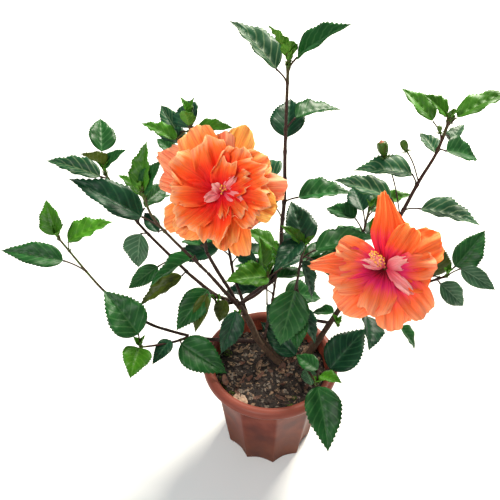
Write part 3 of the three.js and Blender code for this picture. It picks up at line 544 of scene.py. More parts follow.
SHOOTS = {
    "tall_shoot": ([[10, 8, 470], [12, 6, 524], [10, 3, 603], [9, 0, 721]], 3, 1.8, 11, [
        [0.08, 105, -10, 45, -5, 50, 30, 0, "mid"], [0.2, 355, 25, 21, 12, 72, 46, 0, "mid"],
        [0.35, 120, -15, 21, -12, 60, 36, 0, "reflection_streaked"], [0.52, 83, 15, 26, 31, 61, 44, -5, "dark"],
        [0.65, 24, 45, 19, 0, 65, 41, -5, "mid"], [0.9, 147, 38, 20, 36, 78, 44, 0, "reflection_streaked"],
        [0.96, 330, 57, 21, 40, 76, 36, 30, "mid"], [0.99, 210, 79, 13, 56, 45, 18, 20, "young"],
        [1, 275, 88, 11, 57, 32, 19, 0, "young"],
    ]),
    "centre_shoot": ([[-20, -17, 372], [-10, -22, 391], [-9, -30, 422]], 2.2, 1.5, 12, [
        [0.25, 135, 68, 46, -14, 49, 22, -50, "dark"], [0.4, 324, -88, 39, -73, 59, 26, 5, "dark"],
        [0.65, 119, 44, 19, 75, 51, 29, 20, "young"], [1, 203, -80, 6, 14, 65, 42, -15, "young"],
    ]),
    "centre_right_shoot": ([[33, -20, 375], [36, -34, 448], [39, -40, 478]], 2.2, 1.5, 13, [
        [0.4, 242, -68, 24, -61, 90, 56, -20, "mid"], [0.12, 272, -76, 43, -39, 57, 34, 0, "mid"],
        [0.13, 315, -67, 37, -61, 64, 24, 5, "dark"], [0.67, 318, 59, 6, -69, 63, 26, -5, "dark"],
        [0.75, 10, 35, 24, 8, 91, 46, -5, "mid"], [0.8, 30, -38, 32, -34, 60, 35, 50, "mid"],
        [0.9, 233, 72, 26, -9, 64, 30, -5, "dark"], [0.98, 113, 88, 6, 25, 70, 43, 5, "dark"],
        [1, 187, 88, 7, 46, 49, 19, -30, "young"],
    ]),
    "left_shoot": ([[-126, 10, 382], [-195, 0, 497], [-222, -10, 579]], 2.5, 1.5, 14, [
        [0.04, 205, -37, 10, -24, 79, 28, -10, "olive"], [0.18, 194, -20, 26, -35, 61, 27, -45, "mid"],
        [0.45, 243, 38, 21, -70, 53, 40, -5, "pale"], [0.94, 165, 10, 12, 11, 77, 32, -10, "reflection_streaked"],
        [0.98, 233, 88, 15, 46, 45, 28, 30, "olive"], [1, 357, 85, 11, 42, 41, 20, 25, "mid"],
        [1, 98, 88, 33, 26, 52, 34, 20, "mid"],
    ]),
    "front_left_shoot": ([
        [-98, -14, 410], [-141, -40, 496], [-159, -50, 536], [-168, -55, 579],
    ], 2.4, 1.5, 15, [
        [0.1, 197, 69, 22, -31, 80, 40, 10, "mid"], [0.6, 122, -35, 28, 6, 46, 20, -20, "dark"],
        [0.6, 175, 38, 36, 34, 102, 46, -20, "dark"], [0.93, 66, -55, 6, -6, 49, 24, 45, "mid"],
        [0.88, 141, 88, 11, 20, 51, 19, 5, "young"], [0.95, 0, 86, 7, 62, 53, 28, 40, "mid"],
        [0.97, 77, 88, 6, 63, 61, 32, -20, "young"],
    ]),
    "left_flower_shoot": ([[-98, 2, 435], [-103, -12, 571], [-105, -36, 672]], 2.4, 1.6, 16, [
        [0.03, 135, -5, 11, -20, 48, 29, 0, "mid"], [0.09, 65, -65, 6, -13, 42, 25, 0, "mid"],
        [0.67, 132, -7, 49, 13, 35, 21, 0, "mid"], [0.88, 118, -25, 49, 15, 58, 22, -25, "reflection_streaked"],
        [0.91, 148, -41, 31, 8, 55, 22, -5, "young"], [0.93, 332, 0, 9, 15, 51, 18, 30, "young"],
        [0.94, 260, 25, 7, 61, 30, 18, 0, "young"], [0.92, 97, -28, 17, 15, 50, 34, -30, "dark"],
    ]),
    "low_left_shoot": ([[-138, 9, 243], [-154, -8, 252], [-184, -40, 278], [-202, -60, 297]], 2.4, 1.5, 17, [
        [0.16, 334, -88, 8, -20, 91, 55, 30, "mid"], [0.37, 240, 88, 6, -10, 50, 24, -20, "dark"],
        [0.98, 143, 88, 28, 41, 84, 56, -15, "mid"], [0.98, 262, 38, 7, -6, 53, 42, -15, "young"],
    ]),
    "far_left_shoot": ([[-240, -8, 345], [-256, -10, 369], [-300, -20, 480]], 2, 1.4, 18, [
        [0.5, 180, 35, 36, 13, 87, 36, -25, "mid"], [0.8, 25, 85, 16, 13, 68, 43, 0, "young"],
        [0.98, 117, 88, 6, 43, 52, 33, -35, "young"],
    ]),
    "fork_shoot": ([[-62, -6, 338], [-72, -14, 345], [-85, -20, 351]], 2.4, 1.8, 19, [
        [0.3, 238, 60, 16, -60, 38, 24, -12, "olive"], [0.75, 220, 62, 48, -36, 76, 40, -25, "mid"],
        [0.96, 240, 57, 49, -53, 60, 22, -12, "olive"],
    ]),
    "stem_shoot": ([[-48, -8, 318], [-54, -24, 320]], 2, 1.8, 20, [
        [0.7, 241, 69, 22, -48, 69, 36, -40, "dark"],
    ]),
    "low_right_shoot": ([[58, 15, 186], [51, 2, 200], [71, -74, 225]], 2.5, 1.7, 21, [
        [0.2, 148, -17, 10, 21, 85, 40, -25, "dark"], [0.82, 42, -19, 45, 23, 94, 60, 15, "dark"],
        [1, 134, 88, 35, -5, 46, 27, -20, "mid"], [0.95, 320, 73, 22, 21, 42, 24, 0, "young"],
        [0.96, 102, -62, 28, -10, 45, 27, 0, "pale"], [0.98, 279, 11, 7, -30, 99, 57, 0, "mid"],
    ]),
    "right_stem_spur": ([[104, 14, 276], [107, -4, 285]], 1.8, 1.6, 22, [
        [0.8, 147, 69, 24, -29, 46, 24, -5, "mid"],
    ]),
    "under_flower_shoot": ([[139, 10, 373], [147, -14, 357], [152, -28, 347]], 2, 1.5, 23, [
        [0.55, 268, -88, 42, -8, 64, 50, -40, "dark"], [1, 337, -26, 49, -52, 47, 28, 0, "mid"],
    ]),
    "right_shoot": ([[178, 29, 465], [199, 32, 537], [215, 35, 580], [222, 35, 629]], 3, 1.7, 24, [
        [0.05, 164, 65, 39, 10, 85, 40, -10, "reflection_streaked"], [0.15, 333, 22, 25, 0, 82, 50, 0, "reflection_streaked"],
        [0.4, 176, 62, 20, 5, 80, 49, -5, "reflection_streaked"], [0.73, 103, -60, 6, 7, 50, 25, 0, "reflection_streaked"],
        [0.74, 20, -20, 15, -21, 63, 45, 20, "mid"], [0.84, 126, 38, 27, 23, 65, 30, -10, "young"],
        [0.87, 53, -35, 49, 18, 39, 24, -20, "pale"], [0.92, 20, 48, 20, 19, 82, 30, 5, "young"],
        [0.97, 175, 70, 12, 40, 44, 24, -30, "young"],
    ]),
    "far_right_shoot": ([[228, -8, 382], [240, -16, 397], [250, -25, 412]], 2.1, 1.5, 25, [
        [0.5, 350, -48, 10, -43, 59, 32, 50, "pale"], [0.64, 101, -34, 22, 82, 59, 41, 15, "olive"],
        [0.85, 36, 22, 23, 39, 69, 40, 40, "mid"], [1, 344, 49, 24, -27, 61, 26, 50, "pale"],
    ]),
    "back_left_shoot": ([[-61, 58, 333], [-72, 92, 392], [-76, 104, 452]], 2.4, 1.5, 31, []),
    "back_right_shoot": ([[131, 64, 327], [146, 92, 382], [154, 104, 440]], 2.2, 1.5, 32, []),
    "back_low_shoot": ([[2, 63, 259], [10, 100, 292], [16, 122, 338]], 2.2, 1.5, 33, []),
}
# Spare leaves follow the source's spiral: how many, the bearings they keep between, and their length.
SPARE = {
    "centre_shoot": (2, 20, 130, 55), "centre_right_shoot": (1, 30, 150, 52), "left_shoot": (1, 40, 110, 50),
    "left_flower_shoot": (2, 60, 150, 55), "under_flower_shoot": (1, 20, 100, 50),
    "back_left_shoot": (9, 20, 200, 78), "back_right_shoot": (9, -20, 160, 76),
    "back_low_shoot": (9, 10, 170, 78),
}
# How late a shoot's stem turns from red-brown to green on its way up. The others turn only at the tip.
GREENING = {"front_left_shoot": 1.2, "far_left_shoot": 0.3}
LATE_GREENING = 4
MASSES = [f"{shoot}_leaves" for shoot in SHOOTS]
CLEARANCE = 0.3
LEAF = {
    "stations": [0, 0.32, 0.7, 1], "widths": [0.08, 1, 0.68, 0.04], "fold": 25, "arch": 0.1,
    "stalk": 1.0, "thickness": 0.45, "steps": 32, "veins": 6.5, "vein_slant": 0.3,
}
SPIRAL = {
    "turn": 137.5, "sway": 30, "lowest": 0.12, "span": 0.86, "stalk_lift": (10, 45), "stalk": (14, 14),
    "blade_lift": (-40, 20), "width_share": 0.6, "roll": (-15, 30),
}
LINES = {name: smooth_line(shoot[0]) for name, shoot in SHOOTS.items()}


def heading(bearing, lift):
    """The direction that looks along a bearing, lifted from the level."""
    level, turn = math.cos(math.radians(lift)), math.radians(bearing)
    return Vector((level * math.cos(turn), level * math.sin(turn), math.sin(math.radians(lift))))


def spare_leaves(name, seed):
    """The source's spiral of leaves for the sides that the front view doesn't settle."""
    count, start, end, blade = SPARE.get(name, (0, 0, 0, 0))
    numbers = seeded(seed)

    def chance(key):
        value, extra = SPIRAL[key]
        return value + extra * next(numbers)

    rows = []
    for k in range(count):
        up = SPIRAL["lowest"] + SPIRAL["span"] * (k + 0.6 * next(numbers)) / count
        bearing = start + (k * SPIRAL["turn"] + SPIRAL["sway"] * next(numbers)) % (end - start)
        stalk = [chance("stalk_lift"), chance("stalk")]
        blade_lift = chance("blade_lift") + 45 * up
        length = blade * (1.1 - 0.35 * up)
        size = [blade_lift, length, SPIRAL["width_share"] * length, chance("roll")]
        tint = ["mid", "dark", "mid", "pale", "young"][k % 5] if up < 0.85 else "young"
        rows.append([up, bearing, *stalk, *size, tint])
    return rows


def leaf_axes(row):
    """The way a leaf points, the way across it and the way up from it, after its roll."""
    outward, level, roll = heading(row[1], row[4]), heading(row[1] + 90, 0), math.radians(row[7])
    across = level * math.cos(roll) + outward.cross(level) * math.sin(roll)
    return outward, across, outward.cross(across)


def space_of(mesh):
    """The room that a bmesh takes up, to test what touches it."""
    space = BVHTree.FromBMesh(mesh)
    mesh.free()
    return space


def leaf_space(line, row, swell, with_stalk=True):
    """The leaf's few-faced strip, as the source makes it, to test whether it has room."""
    up, bearing, stalk_lift, stalk, _, length, width = row[:7]
    outward, across, upward = leaf_axes(row)
    root = point_on(line, up)[0]
    base = root + heading(bearing, stalk_lift) * stalk
    extra = 1 if with_stalk else 0
    sections = len(LEAF["stations"]) - 1 + extra
    mesh = bmesh.new()
    for vert in bmesh.ops.create_grid(mesh, x_segments=2, y_segments=sections, size=0.5)["verts"]:
        side_share, section = 2 * vert.co.x, round((vert.co.y + 0.5) * sections) - extra
        if section < 0:
            vert.co = root + across * side_share * (LEAF["stalk"] + swell)
            continue
        along = LEAF["stations"][section]
        side = side_share * (0.5 * width * LEAF["widths"][section] + swell)
        rise = abs(side) * math.tan(math.radians(LEAF["fold"])) + LEAF["arch"] * length * along * (1 - along)
        vert.co = base + outward * along * length + across * side + upward * rise
    for vert in mesh.verts:
        vert.co *= MM
    return space_of(mesh)


def row_with_room(line, row, others, own):
    """The row, or the nearest turn of it whose leaf touches no other piece, or nothing."""
    for turn in (0, 8, -8, 16, -16, 26, -26):
        for lift in (0, 10, -10):
            turned = [row[0], row[1] + turn, row[2], row[3], row[4] + lift, *row[5:]]
            whole = leaf_space(line, turned, CLEARANCE)
            if any(whole.overlap(other) for other in others):
                continue
            blade = leaf_space(line, turned, CLEARANCE, False)
            if not any(blade.overlap(other) for other in own):
                return turned
    return None


def stem_space(name):
    mesh = bmesh.new()
    add_limb(mesh, LINES[name], taper(*SHOOTS[name][1:3], 0), 5, 24, 0)
    return space_of(mesh)


# The blooms' places are needed here, because leaves keep clear of them. Each is a ball's worth of space.
BLOOM_SPACE = {"left_bloom": ([-66, -113, 619], 34), "right_bloom": ([124, -128, 527], 30)}


def ball_space(centre, radius):
    mesh = bmesh.new()
    place = Matrix.Translation(Vector(centre) * MM)
    bmesh.ops.create_icosphere(mesh, subdivisions=2, radius=radius * MM, matrix=place)
    return space_of(mesh)


def tip_tuft(seed):
    """Three small new leaves that stand close together round the tip of every shoot."""
    chance = seeded(200 + seed)
    return [
        [0.985, 137.5 * k + 60 * next(chance), 75, 4 + 3 * next(chance), 52 + 24 * next(chance),
         12 + 8 * next(chance), 7 + 4 * next(chance), 40 * next(chance) - 20, "young"]
        for k in range(3)
    ]


def grow_rows():
    """Every leaf of every shoot, after the rule that finds it room."""
    stems = {name: stem_space(name) for name in SHOOTS}
    taken = [wood_space] + [ball_space(*ball) for ball in BLOOM_SPACE.values()]
    grown = {}
    for name, (_, _, _, seed, placed) in SHOOTS.items():
        line = LINES[name]
        others = taken + [space for other, space in stems.items() if other != name]
        own, spaces, rows = [stems[name]], [], []
        for number, row in enumerate(placed + spare_leaves(name, seed)):
            near = others if row[0] > 0.1 else taken[1:]
            clear = row_with_room(line, row, near, own if number >= len(placed) else [])
            if clear:
                rows.append(clear)
                own.append(leaf_space(line, clear, 0, False))
                spaces.append(leaf_space(line, clear, 0))
        taken += spaces
        grown[name] = rows + tip_tuft(seed)
    return grown


leaf_rows = grow_rows()


def stalk_line(line, row):
    """A leaf stalk leaves its stem steeply and bends over towards the blade."""
    up, bearing, stalk_lift, stalk = row[:4]
    root = point_on(line, up)[0]
    end = root + heading(bearing, stalk_lift) * stalk
    rise = Vector((0, 0, 0.07 * stalk))
    return smooth_line([root, root.lerp(end, 0.4) + rise, root.lerp(end, 0.8) + rise * 0.6, end], 5)


def build_shoot_stems():
    """Green stems, a little swollen at each joint, with small buds and stipules in the leaf angles."""
    mesh = bmesh.new()
    for name, (_, foot, tip, _, _) in SHOOTS.items():
        line, rows, greening = LINES[name], leaf_rows[name], GREENING.get(name, LATE_GREENING)
        length = sum((b - a).length for a, b in zip(line, line[1:]))
        joints = [row[0] * length for row in rows[:14]]

        def swell(along, turn, radius, centre):
            return 0.3 * radius * sum(math.exp(-((along - joint) / 2.4) ** 2) for joint in joints)

        add_limb(mesh, line, taper(foot, tip, 0), 10, 3, lambda share: 0.36 - 0.3 * share ** greening, swell)
        for row in rows:
            rise = heading(row[1], 62)
            start = point_on(line, row[0])[0] + heading(row[1], 20) * tip
            bud = [start, start + rise * 2.2, start + rise * 4.6]
            add_limb(mesh, bud, lambda share: 1.1 * (1 - share) + 0.1, 6, 1.2, 0.02)
            for side in (60, -60):
                stipule = [start, start + heading(row[1] + side, 40) * 5]
                add_limb(mesh, stipule, lambda share: 0.45 * (1 - share) + 0.08, 4, 2.5, 0.04)
    return mesh


def build_leaf_stalks():
    mesh = bmesh.new()
    for name, rows in leaf_rows.items():
        for row in rows:
            young = row[8] == "young"
            thick = LEAF["stalk"] * (0.9 if young else 1.15)

            def swollen_ends(share):
                return thick * (1 + 0.4 * math.exp(-share / 0.1) + 0.4 * math.exp((share - 1) / 0.08))

            add_limb(mesh, stalk_line(LINES[name], row), swollen_ends, 6, 3.5, 0.12 if young else 0.28)
    return mesh


place_piece("shoot_stems", build_shoot_stems(), [rind], MASSES)
place_piece("leaf_stalks", build_leaf_stalks(), [rind], MASSES)


# The leaf blades: thick, glossy, folded along the midrib and toothed towards the tip, with the blade quilted
# between its side veins. Each blade is one sheet with its own outline, thickened, darker above than below.

def blade_half_width(along):
    """A leaf's half width as a share of its widest: a round shoulder at a third, then a drawn-out tip."""
    shoulder, point = 0.6, 1.22
    peak = shoulder / (shoulder + point)
    widest = peak ** shoulder * (1 - peak) ** point
    return max(0.004, along ** shoulder * (1 - along) ** point / widest) if along < 1 else 0.004


def add_blade(mesh, line, row, number, skin):
    """One leaf blade on the end of its stalk. The grid's columns run across it and its rows along it."""
    up, bearing, stalk_lift, stalk, _, length, width, _, tint = row
    chance = seeded(500 + number)
    outward, across, upward = leaf_axes(row)
    base = point_on(line, up)[0] + heading(bearing, stalk_lift) * stalk
    fold = math.tan(math.radians(LEAF["fold"]))
    swerve = 0.07 * (next(chance) - 0.5)
    belly = 0.1 + 0.2 * next(chance)
    waves, start = 2.2 + 1.8 * next(chance), math.tau * next(chance)
    widest = 0.5 * width * (0.98 + 0.07 * next(chance))
    hang = 0.06 * next(chance)
    ruffle = (0.032 if tint == "young" else 0.022) * length
    grid = {"x_segments": 8, "y_segments": LEAF["steps"], "size": 0.5, "calc_uvs": True}
    made = bmesh.ops.create_grid(mesh, **grid)["verts"]
    for vert in made:
        share, along = -2 * vert.co.x, vert.co.y + 0.5
        apart, tooth = abs(share), round(along * LEAF["steps"]) % 2
        toothed = min(1, max(0, 6 * (along - 0.16))) * min(1, max(0, 9 * (0.97 - along))) * (apart > 0.99)
        half = widest * (blade_half_width(along) + toothed * (0.048 if tooth else -0.022))
        rise = apart * half * (fold + belly * (1 - apart)) + LEAF["arch"] * length * along * (1 - along)
        quilt = abs(math.sin(math.pi * LEAF["veins"] * (along - LEAF["vein_slant"] * apart)))
        fade = (1 - apart ** 3) * min(1, along * 6) * min(1, (1 - along) * 4) * min(1, 4 * apart)
        rise += 0.026 * length * quilt * fade - hang * length * along ** 3
        swing = math.sin(math.tau * waves * along + start + (1.7 if share > 0 else 0))
        rise += ruffle * apart ** 2 * swing * math.sin(math.pi * along)
        side = share * half + swerve * length * along * (1 - along)
        reach = along * length + toothed * tooth * 0.012 * length
        vert.co = (base + outward * reach + across * side + upward * rise) * MM
    deal_material(made, skin)


def build_blades(tints):
    mesh = bmesh.new()
    mesh.loops.layers.uv.new("UVMap")
    numbered = enumerate((name, row) for name, rows in leaf_rows.items() for row in rows)
    for number, (name, row) in numbered:
        if row[8] in tints:
            add_blade(mesh, LINES[name], row, number, 2 * tints.index(row[8]))
    return mesh


def leaf_skin(name, colour, vein, gloss, vein_strength):
    """Living leaf: waxy, with paler veins drawn on the blade's own map, which on the streaked tint are
    painted reflection streaks, and a fine net of veins as relief.
    """
    material, nodes, shader = start_material(name, colour, Roughness=gloss, IOR=1.45, Specular_IOR_Level=0.26)
    chart = add_node(nodes, "UVMap", uv_map="UVMap")
    place = add_node(nodes, "TexCoord", give="Object")
    share = add_node(nodes, "SeparateXYZ", {0: chart}, give="X")
    along = add_node(nodes, "SeparateXYZ", {0: chart}, give="Y")
    centred = add_node(nodes, "Math", {0: share, 1: 0.5}, operation="SUBTRACT")
    apart = add_node(nodes, "Math", {0: centred}, operation="ABSOLUTE")
    slope = -2 * LEAF["vein_slant"]
    slant = add_node(nodes, "Math", {0: apart, 1: slope, 2: along}, operation="MULTIPLY_ADD")
    count = add_node(nodes, "Math", {0: slant, 1: LEAF["veins"]}, operation="MULTIPLY")
    ripple = add_node(nodes, "Math", {0: count, 1: 0.5}, operation="PINGPONG")
    side_range = {"Value": ripple, "From Min": 0.15, "From Max": 0.03, "To Max": 0.8}
    side_vein = add_node(nodes, "MapRange", side_range)
    rib_range = {"Value": apart, "From Min": 0.035, "From Max": 0.012, "To Max": 1.0}
    midrib = add_node(nodes, "MapRange", rib_range)
    either = add_node(nodes, "Math", {0: side_vein, 1: midrib}, operation="MAXIMUM")
    drawn = add_node(nodes, "Math", {0: either, 1: vein_strength}, operation="MULTIPLY")
    patches = add_node(nodes, "TexNoise", {"Vector": place, "Scale": 34.0, "Detail": 3.0})
    tones = [(0.34, shade(colour, 0.72)), (0.66, shade(colour, 1.35))]
    tone = add_node(nodes, "ValToRGB", {0: patches}, tones)
    net = add_node(nodes, "TexVoronoi", {"Vector": place, "Scale": 520.0}, feature="DISTANCE_TO_EDGE")
    netted = add_node(nodes, "Bump", {"Height": net, "Strength": 0.1, "Distance": 0.0003})
    feed(nodes, shader, {
        "Base Color": add_node(nodes, "Mix", {0: drawn, 6: tone, 7: vein}, data_type="RGBA"),
        "Normal": add_node(nodes, "Bump", {
            "Height": either, "Strength": 0.3, "Distance": 0.0005, "Normal": netted,
        }, invert=True),
    })
    return material


# Hibiscus leaves are glossy above from a thick wax skin and matt below. Old ones are a deep blue-green, new
# ones yellow-green, and a few have turned olive or gone pale with dust. The darkest tint is darker still as
# painted shade, matched to leaves that stand in shadow. The streaked tint's pale veins are painted
# reflection, the glossy streaks on the quilted blade. A tint is the upper skin, its veins and how strongly
# they show, then the under skin and its veins.
LEAF_TINTS = {
    "mid": ("#17491b", "#5a8850", 0.3, "#2f6a10", "#5a8038"),
    # Old leaves' deep blue-green, darkened further as painted shade to match leaves that stand in shadow.
    "dark": ("#0d361f", "#44764e", 0.3, "#205016", "#486c3a"),
    # Pale veins here are painted reflection: the glossy streaks of light along the quilted blade.
    "reflection_streaked": ("#184627", "#8da173", 0.45, "#2f6a10", "#5a8038"),
    "pale": ("#36593c", "#86a480", 0.4, "#42643a", "#789468"),
    "young": ("#35690f", "#6a9a38", 0.3, "#467c1c", "#78a040"),
    "olive": ("#364208", "#5e6a28", 0.3, "#485814", "#667236"),
}


def leaf_piece(name, tints):
    skins = []
    for tint in tints:
        above, above_vein, drawn, below, below_vein = LEAF_TINTS[tint]
        skins.append(leaf_skin(f"{tint}_leaf_upper_skin", above, above_vein, 0.44, drawn))
        skins.append(leaf_skin(f"{tint}_leaf_under_skin", below, below_vein, 0.6, 0.7))
    masses = [f"{shoot}_leaves" for shoot, rows in leaf_rows.items() if any(row[8] in tints for row in rows)]
    piece = place_piece(name, build_blades(tints), skins, masses, closed=False)
    body = piece.modifiers.new("blade_thickness", "SOLIDIFY")
    body.thickness = LEAF["thickness"] * MM
    body.offset = -1
    body.material_offset = 1
    body.material_offset_rim = 1


# The first piece holds the leaves whose tints carry painted shade and painted reflection streaks.
leaf_piece("dark_leaves", ["dark", "reflection_streaked"])
leaf_piece("green_leaves", ["mid", "pale"])
leaf_piece("young_leaves", ["young", "olive"])


# Flower buds stand on long stalks: a twisted cone of furled petals held in a ribbed green cup, with a ruff of
# narrow bracts spread below it. The smallest are still shut in the cup. A bud's row is its shoot, then the
# share of the way up, bearing, lift, stalk length and its own length.

BUDS = [
    ["right_shoot", 0.08, 146, 67, 106, 26], ["right_shoot", 0.43, 168, 63, 60, 17],
    ["right_shoot", 0.98, 20, 72, 14, 9], ["right_shoot", 0.86, 40, 66, 24, 12],
    ["right_shoot", 0.8, 200, 72, 22, 11], ["tall_shoot", 0.97, 60, 60, 12, 8],
    ["left_flower_shoot", 0.98, 20, 75, 12, 8], ["low_right_shoot", 0.97, 330, 60, 10, 8],
    ["centre_right_shoot", 0.97, 20, 65, 14, 9], ["front_left_shoot", 0.98, 300, 70, 12, 7],
]
BRACTS = 7
SHUT_UNDER = 20


def spoke(turn):
    return Vector((math.cos(turn), math.sin(turn), 0))


def add_bud(green, petals, row, number):
    shoot, up, bearing, lift, stalk, length = row
    root = point_on(LINES[shoot], up)[0]
    axis = heading(bearing, lift)
    end = root + axis * stalk
    bow = axis.orthogonal().normalized() * 0.05 * stalk
    line = smooth_line([root, root.lerp(end, 0.5) + bow, end - axis * length * 0.4], 6)
    add_limb(green, line, lambda t: 1 + 0.6 * max(0, t - 0.85) / 0.15, 8, 4, lambda t: 0.3 - 0.25 * t ** 3)
    turned = axis.to_track_quat("Z", "Y").to_matrix().to_4x4()
    place = Matrix.Translation((end - axis * length * 0.45) * MM) @ turned
    cup_top = 0.95 if length < SHUT_UNDER else 0.84
    for vert in bmesh.ops.create_uvsphere(green, u_segments=15, v_segments=10, radius=0.5)["verts"]:
        share, turn = vert.co.z + 0.5, math.atan2(vert.co.y, vert.co.x)
        round_out = 0.5 * math.sin(math.pi * min(0.99, share * 0.75 + 0.02)) ** 0.7
        ribs = 1 + 0.07 * math.cos(5 * turn)
        around = spoke(turn) * 0.6 * length * round_out * ribs
        vert.co = place @ ((around + Vector((0, 0, share * length * cup_top))) * MM)
    for k in range(BRACTS):
        out = spoke(math.tau * (k + 0.4 * (number % 3)) / BRACTS)
        path = [out * 0.1, out * 0.34, out * 0.56 + Vector((0, 0, 0.22))]
        bract = smooth_line([(place @ (p * length * MM)) / MM for p in path], 3)
        add_limb(green, bract, lambda t: 0.7 * (1 - t) + 0.15, 5, 1.6, 0)
    if length < SHUT_UNDER:
        return
    for vert in bmesh.ops.create_uvsphere(petals, u_segments=20, v_segments=14, radius=0.5)["verts"]:
        share, turn = vert.co.z + 0.5, math.atan2(vert.co.y, vert.co.x)
        thick = math.sin(math.pi * share ** 0.8) ** 0.8
        furl = 1 + 0.10 * math.cos(3 * (turn + 2.2 * share))
        around = spoke(turn) * 0.22 * length * thick * furl
        vert.co = place @ ((around + Vector((0, 0, (0.3 + 0.68 * share) * length))) * MM)


def flecked(name, colour, roughness, grain, detail, tones):
    """A soft skin or powder, blotched between its tones at the scale of its grain."""
    material, nodes, shader = start_material(name, colour, Roughness=roughness)
    place = add_node(nodes, "TexCoord", give="Object")
    fleck = add_node(nodes, "TexNoise", {"Vector": place, "Scale": grain, "Detail": detail})
    feed(nodes, shader, {"Base Color": add_node(nodes, "ValToRGB", {0: fleck}, tones)})
    return material


bud_green, bud_petals = bmesh.new(), bmesh.new()
for bud_number, bud_row in enumerate(BUDS):
    add_bud(bud_green, bud_petals, bud_row, bud_number)

# Furled petal: the silky outside of the flower, pink where it is rolled tight.
furled = flecked("furled_petal", "#e58a63", 0.5, 180.0, 3.0, [(0.35, "#b05a50"), (0.65, "#c98a5c")])
place_piece("bud_cups", bud_green, [rind], ["right_shoot_leaves"])
place_piece("furled_buds", bud_petals, [furled], ["right_shoot_leaves"])


# The blooms: thin silky petals that spring from one heart, those outside broad and spread flat, those inside
# narrower, upright and ruffled. A petal's row is [angle in the bloom's face, length, width, angle from the
# bloom's axis, ruffle, outline, silk]. A column is (angle, length, lean from the axis, number of anthers).

# Each silk's colours from claw to edge, and how far they run into one another along its fibres.
SILKS = {
    "orange": ([
        (0.06, "#f0141c"), (0.3, "#fa3c14"), (0.52, "#fc681f"), (0.78, "#fd8c3e"), (1.0, "#ffae70"),
    ], 0.05),
    "salmon": ([(0.06, "#f01c20"), (0.3, "#f94c26"), (0.56, "#fb7c4a"), (1.0, "#fea880")], 0.05),
    # Gold: partly the petal's own gold, partly painted light, the glow of petals lit through from behind.
    "backlit_gold": ([(0.06, "#f0281c"), (0.3, "#fc5c1a"), (0.58, "#fe8e2c"), (1.0, "#ffc066")], 0.06),
    "deep": ([
        (0.06, "#e20630"), (0.34, "#f61c18"), (0.6, "#fa4016"), (0.84, "#fe762e"), (1.0, "#ffb884"),
    ], 0.08),
    "crimson": ([
        (0.1, "#68000f"), (0.22, "#bc083c"), (0.4, "#ea2062"), (0.54, "#f6504a"), (0.7, "#f76a34"),
        (1.0, "#fba072"),
    ], 0.12),
    "flame": ([
        (0.1, "#780012"), (0.24, "#d41048"), (0.4, "#f42e4c"), (0.56, "#fc5a22"), (1.0, "#fd843e"),
    ], 0.12),
    "pink": ([(0.05, "#e42c58"), (0.4, "#fb8088"), (1.0, "#ffbab0")], 0.06),
}

BLOOMS = {
    "left_bloom": {
        "centre": [-66, -113, 619], "bearing": 273, "lift": 36, "throat": 0.03,
        "stalk": [[-101, -14, 566], [-96, -40, 578], [-80, -78, 596]],
        "petals": [
            [116, 80, 44, 75, 7, "fan", "orange"], [147, 82, 36, 86, 7, "fan", "salmon"],
            [166, 74, 32, 88, 8, "fan", "salmon"], [190, 56, 32, 80, 9, "fan", "orange"],
            [212, 74, 36, 86, 8, "fan", "orange"], [229, 68, 40, 78, 9, "fan", "orange"],
            [277, 64, 32, 80, 9, "fan", "orange"], [293, 77, 30, 86, 6, "fan", "orange"],
            [324, 54, 30, 74, 9, "fan", "salmon"], [345, 64, 38, 76, 10, "fan", "backlit_gold"],
            [9, 75, 34, 86, 8, "fan", "salmon"], [43, 63, 38, 78, 9, "fan", "orange"],
            [73, 76, 34, 84, 9, "fan", "backlit_gold"], [95, 66, 34, 80, 8, "fan", "salmon"],
            [112, 62, 42, 60, 10, "fan", "deep"], [150, 66, 40, 64, 10, "fan", "deep"],
            [186, 60, 32, 56, 12, "fan", "deep"], [222, 61, 38, 60, 9, "fan", "deep"],
            [262, 59, 35, 57, 12, "fan", "deep"], [72, 55, 38, 56, 10, "fan", "deep"],
            [38, 57, 36, 58, 11, "fan", "deep"], [2, 55, 34, 60, 11, "fan", "deep"],
            [326, 52, 32, 60, 10, "fan", "deep"], [94, 42, 28, 44, 8, "fan", "deep"],
            [14, 41, 26, 46, 9, "fan", "deep"], [300, 40, 24, 50, 9, "fan", "deep"],
            [272, 34, 14, 50, 9, "strap", "deep"], [298, 36, 17, 54, 9, "strap", "deep"],
            [338, 29, 14, 44, 4, "strap", "pink"], [46, 29, 10, 38, 5, "strap", "pink"],
            [204, 27, 12, 42, 5, "strap", "pink"], [136, 20, 12, 28, 3, "strap", "pink"],
        ],
        "column": (70, 7, 20, 5),
    },
    "right_bloom": {
        "centre": [129, -129, 519], "bearing": 264, "lift": 38, "throat": 0.1,
        "stalk": [[130.6, -74, 474.6], [129, -92, 490], [128, -106, 504]],
        "petals": [
            [83, 86, 48, 78, 3, "sail", "flame"], [169, 88, 40, 78, 3, "sail", "crimson"],
            [228, 74, 54, 76, 9, "fan", "crimson"], [284, 78, 46, 80, 8, "fan", "crimson"],
            [317, 76, 40, 76, 9, "fan", "crimson"], [33, 74, 48, 74, 11, "fan", "flame"],
            [198, 68, 42, 70, 9, "fan", "crimson"], [160, 66, 38, 68, 8, "fan", "crimson"],
            [64, 60, 34, 62, 6, "fan", "flame"], [258, 60, 42, 64, 8, "fan", "crimson"],
            [12, 60, 36, 60, 9, "fan", "crimson"], [352, 56, 40, 70, 8, "fan", "flame"],
            [318, 46, 14, 56, 9, "strap", "pink"], [28, 32, 20, 46, 6, "strap", "pink"],
            [168, 38, 12, 50, 4, "strap", "pink"], [140, 38, 8, 36, 5, "strap", "pink"],
            [156, 32, 8, 40, 5, "strap", "pink"],
        ],
        "column": (140, 40, 36, 34),
    },
}
PETAL = {"thickness": 0.4, "root": 3, "heart_depth": 16, "cup": 0.4, "recurve": 0.2}

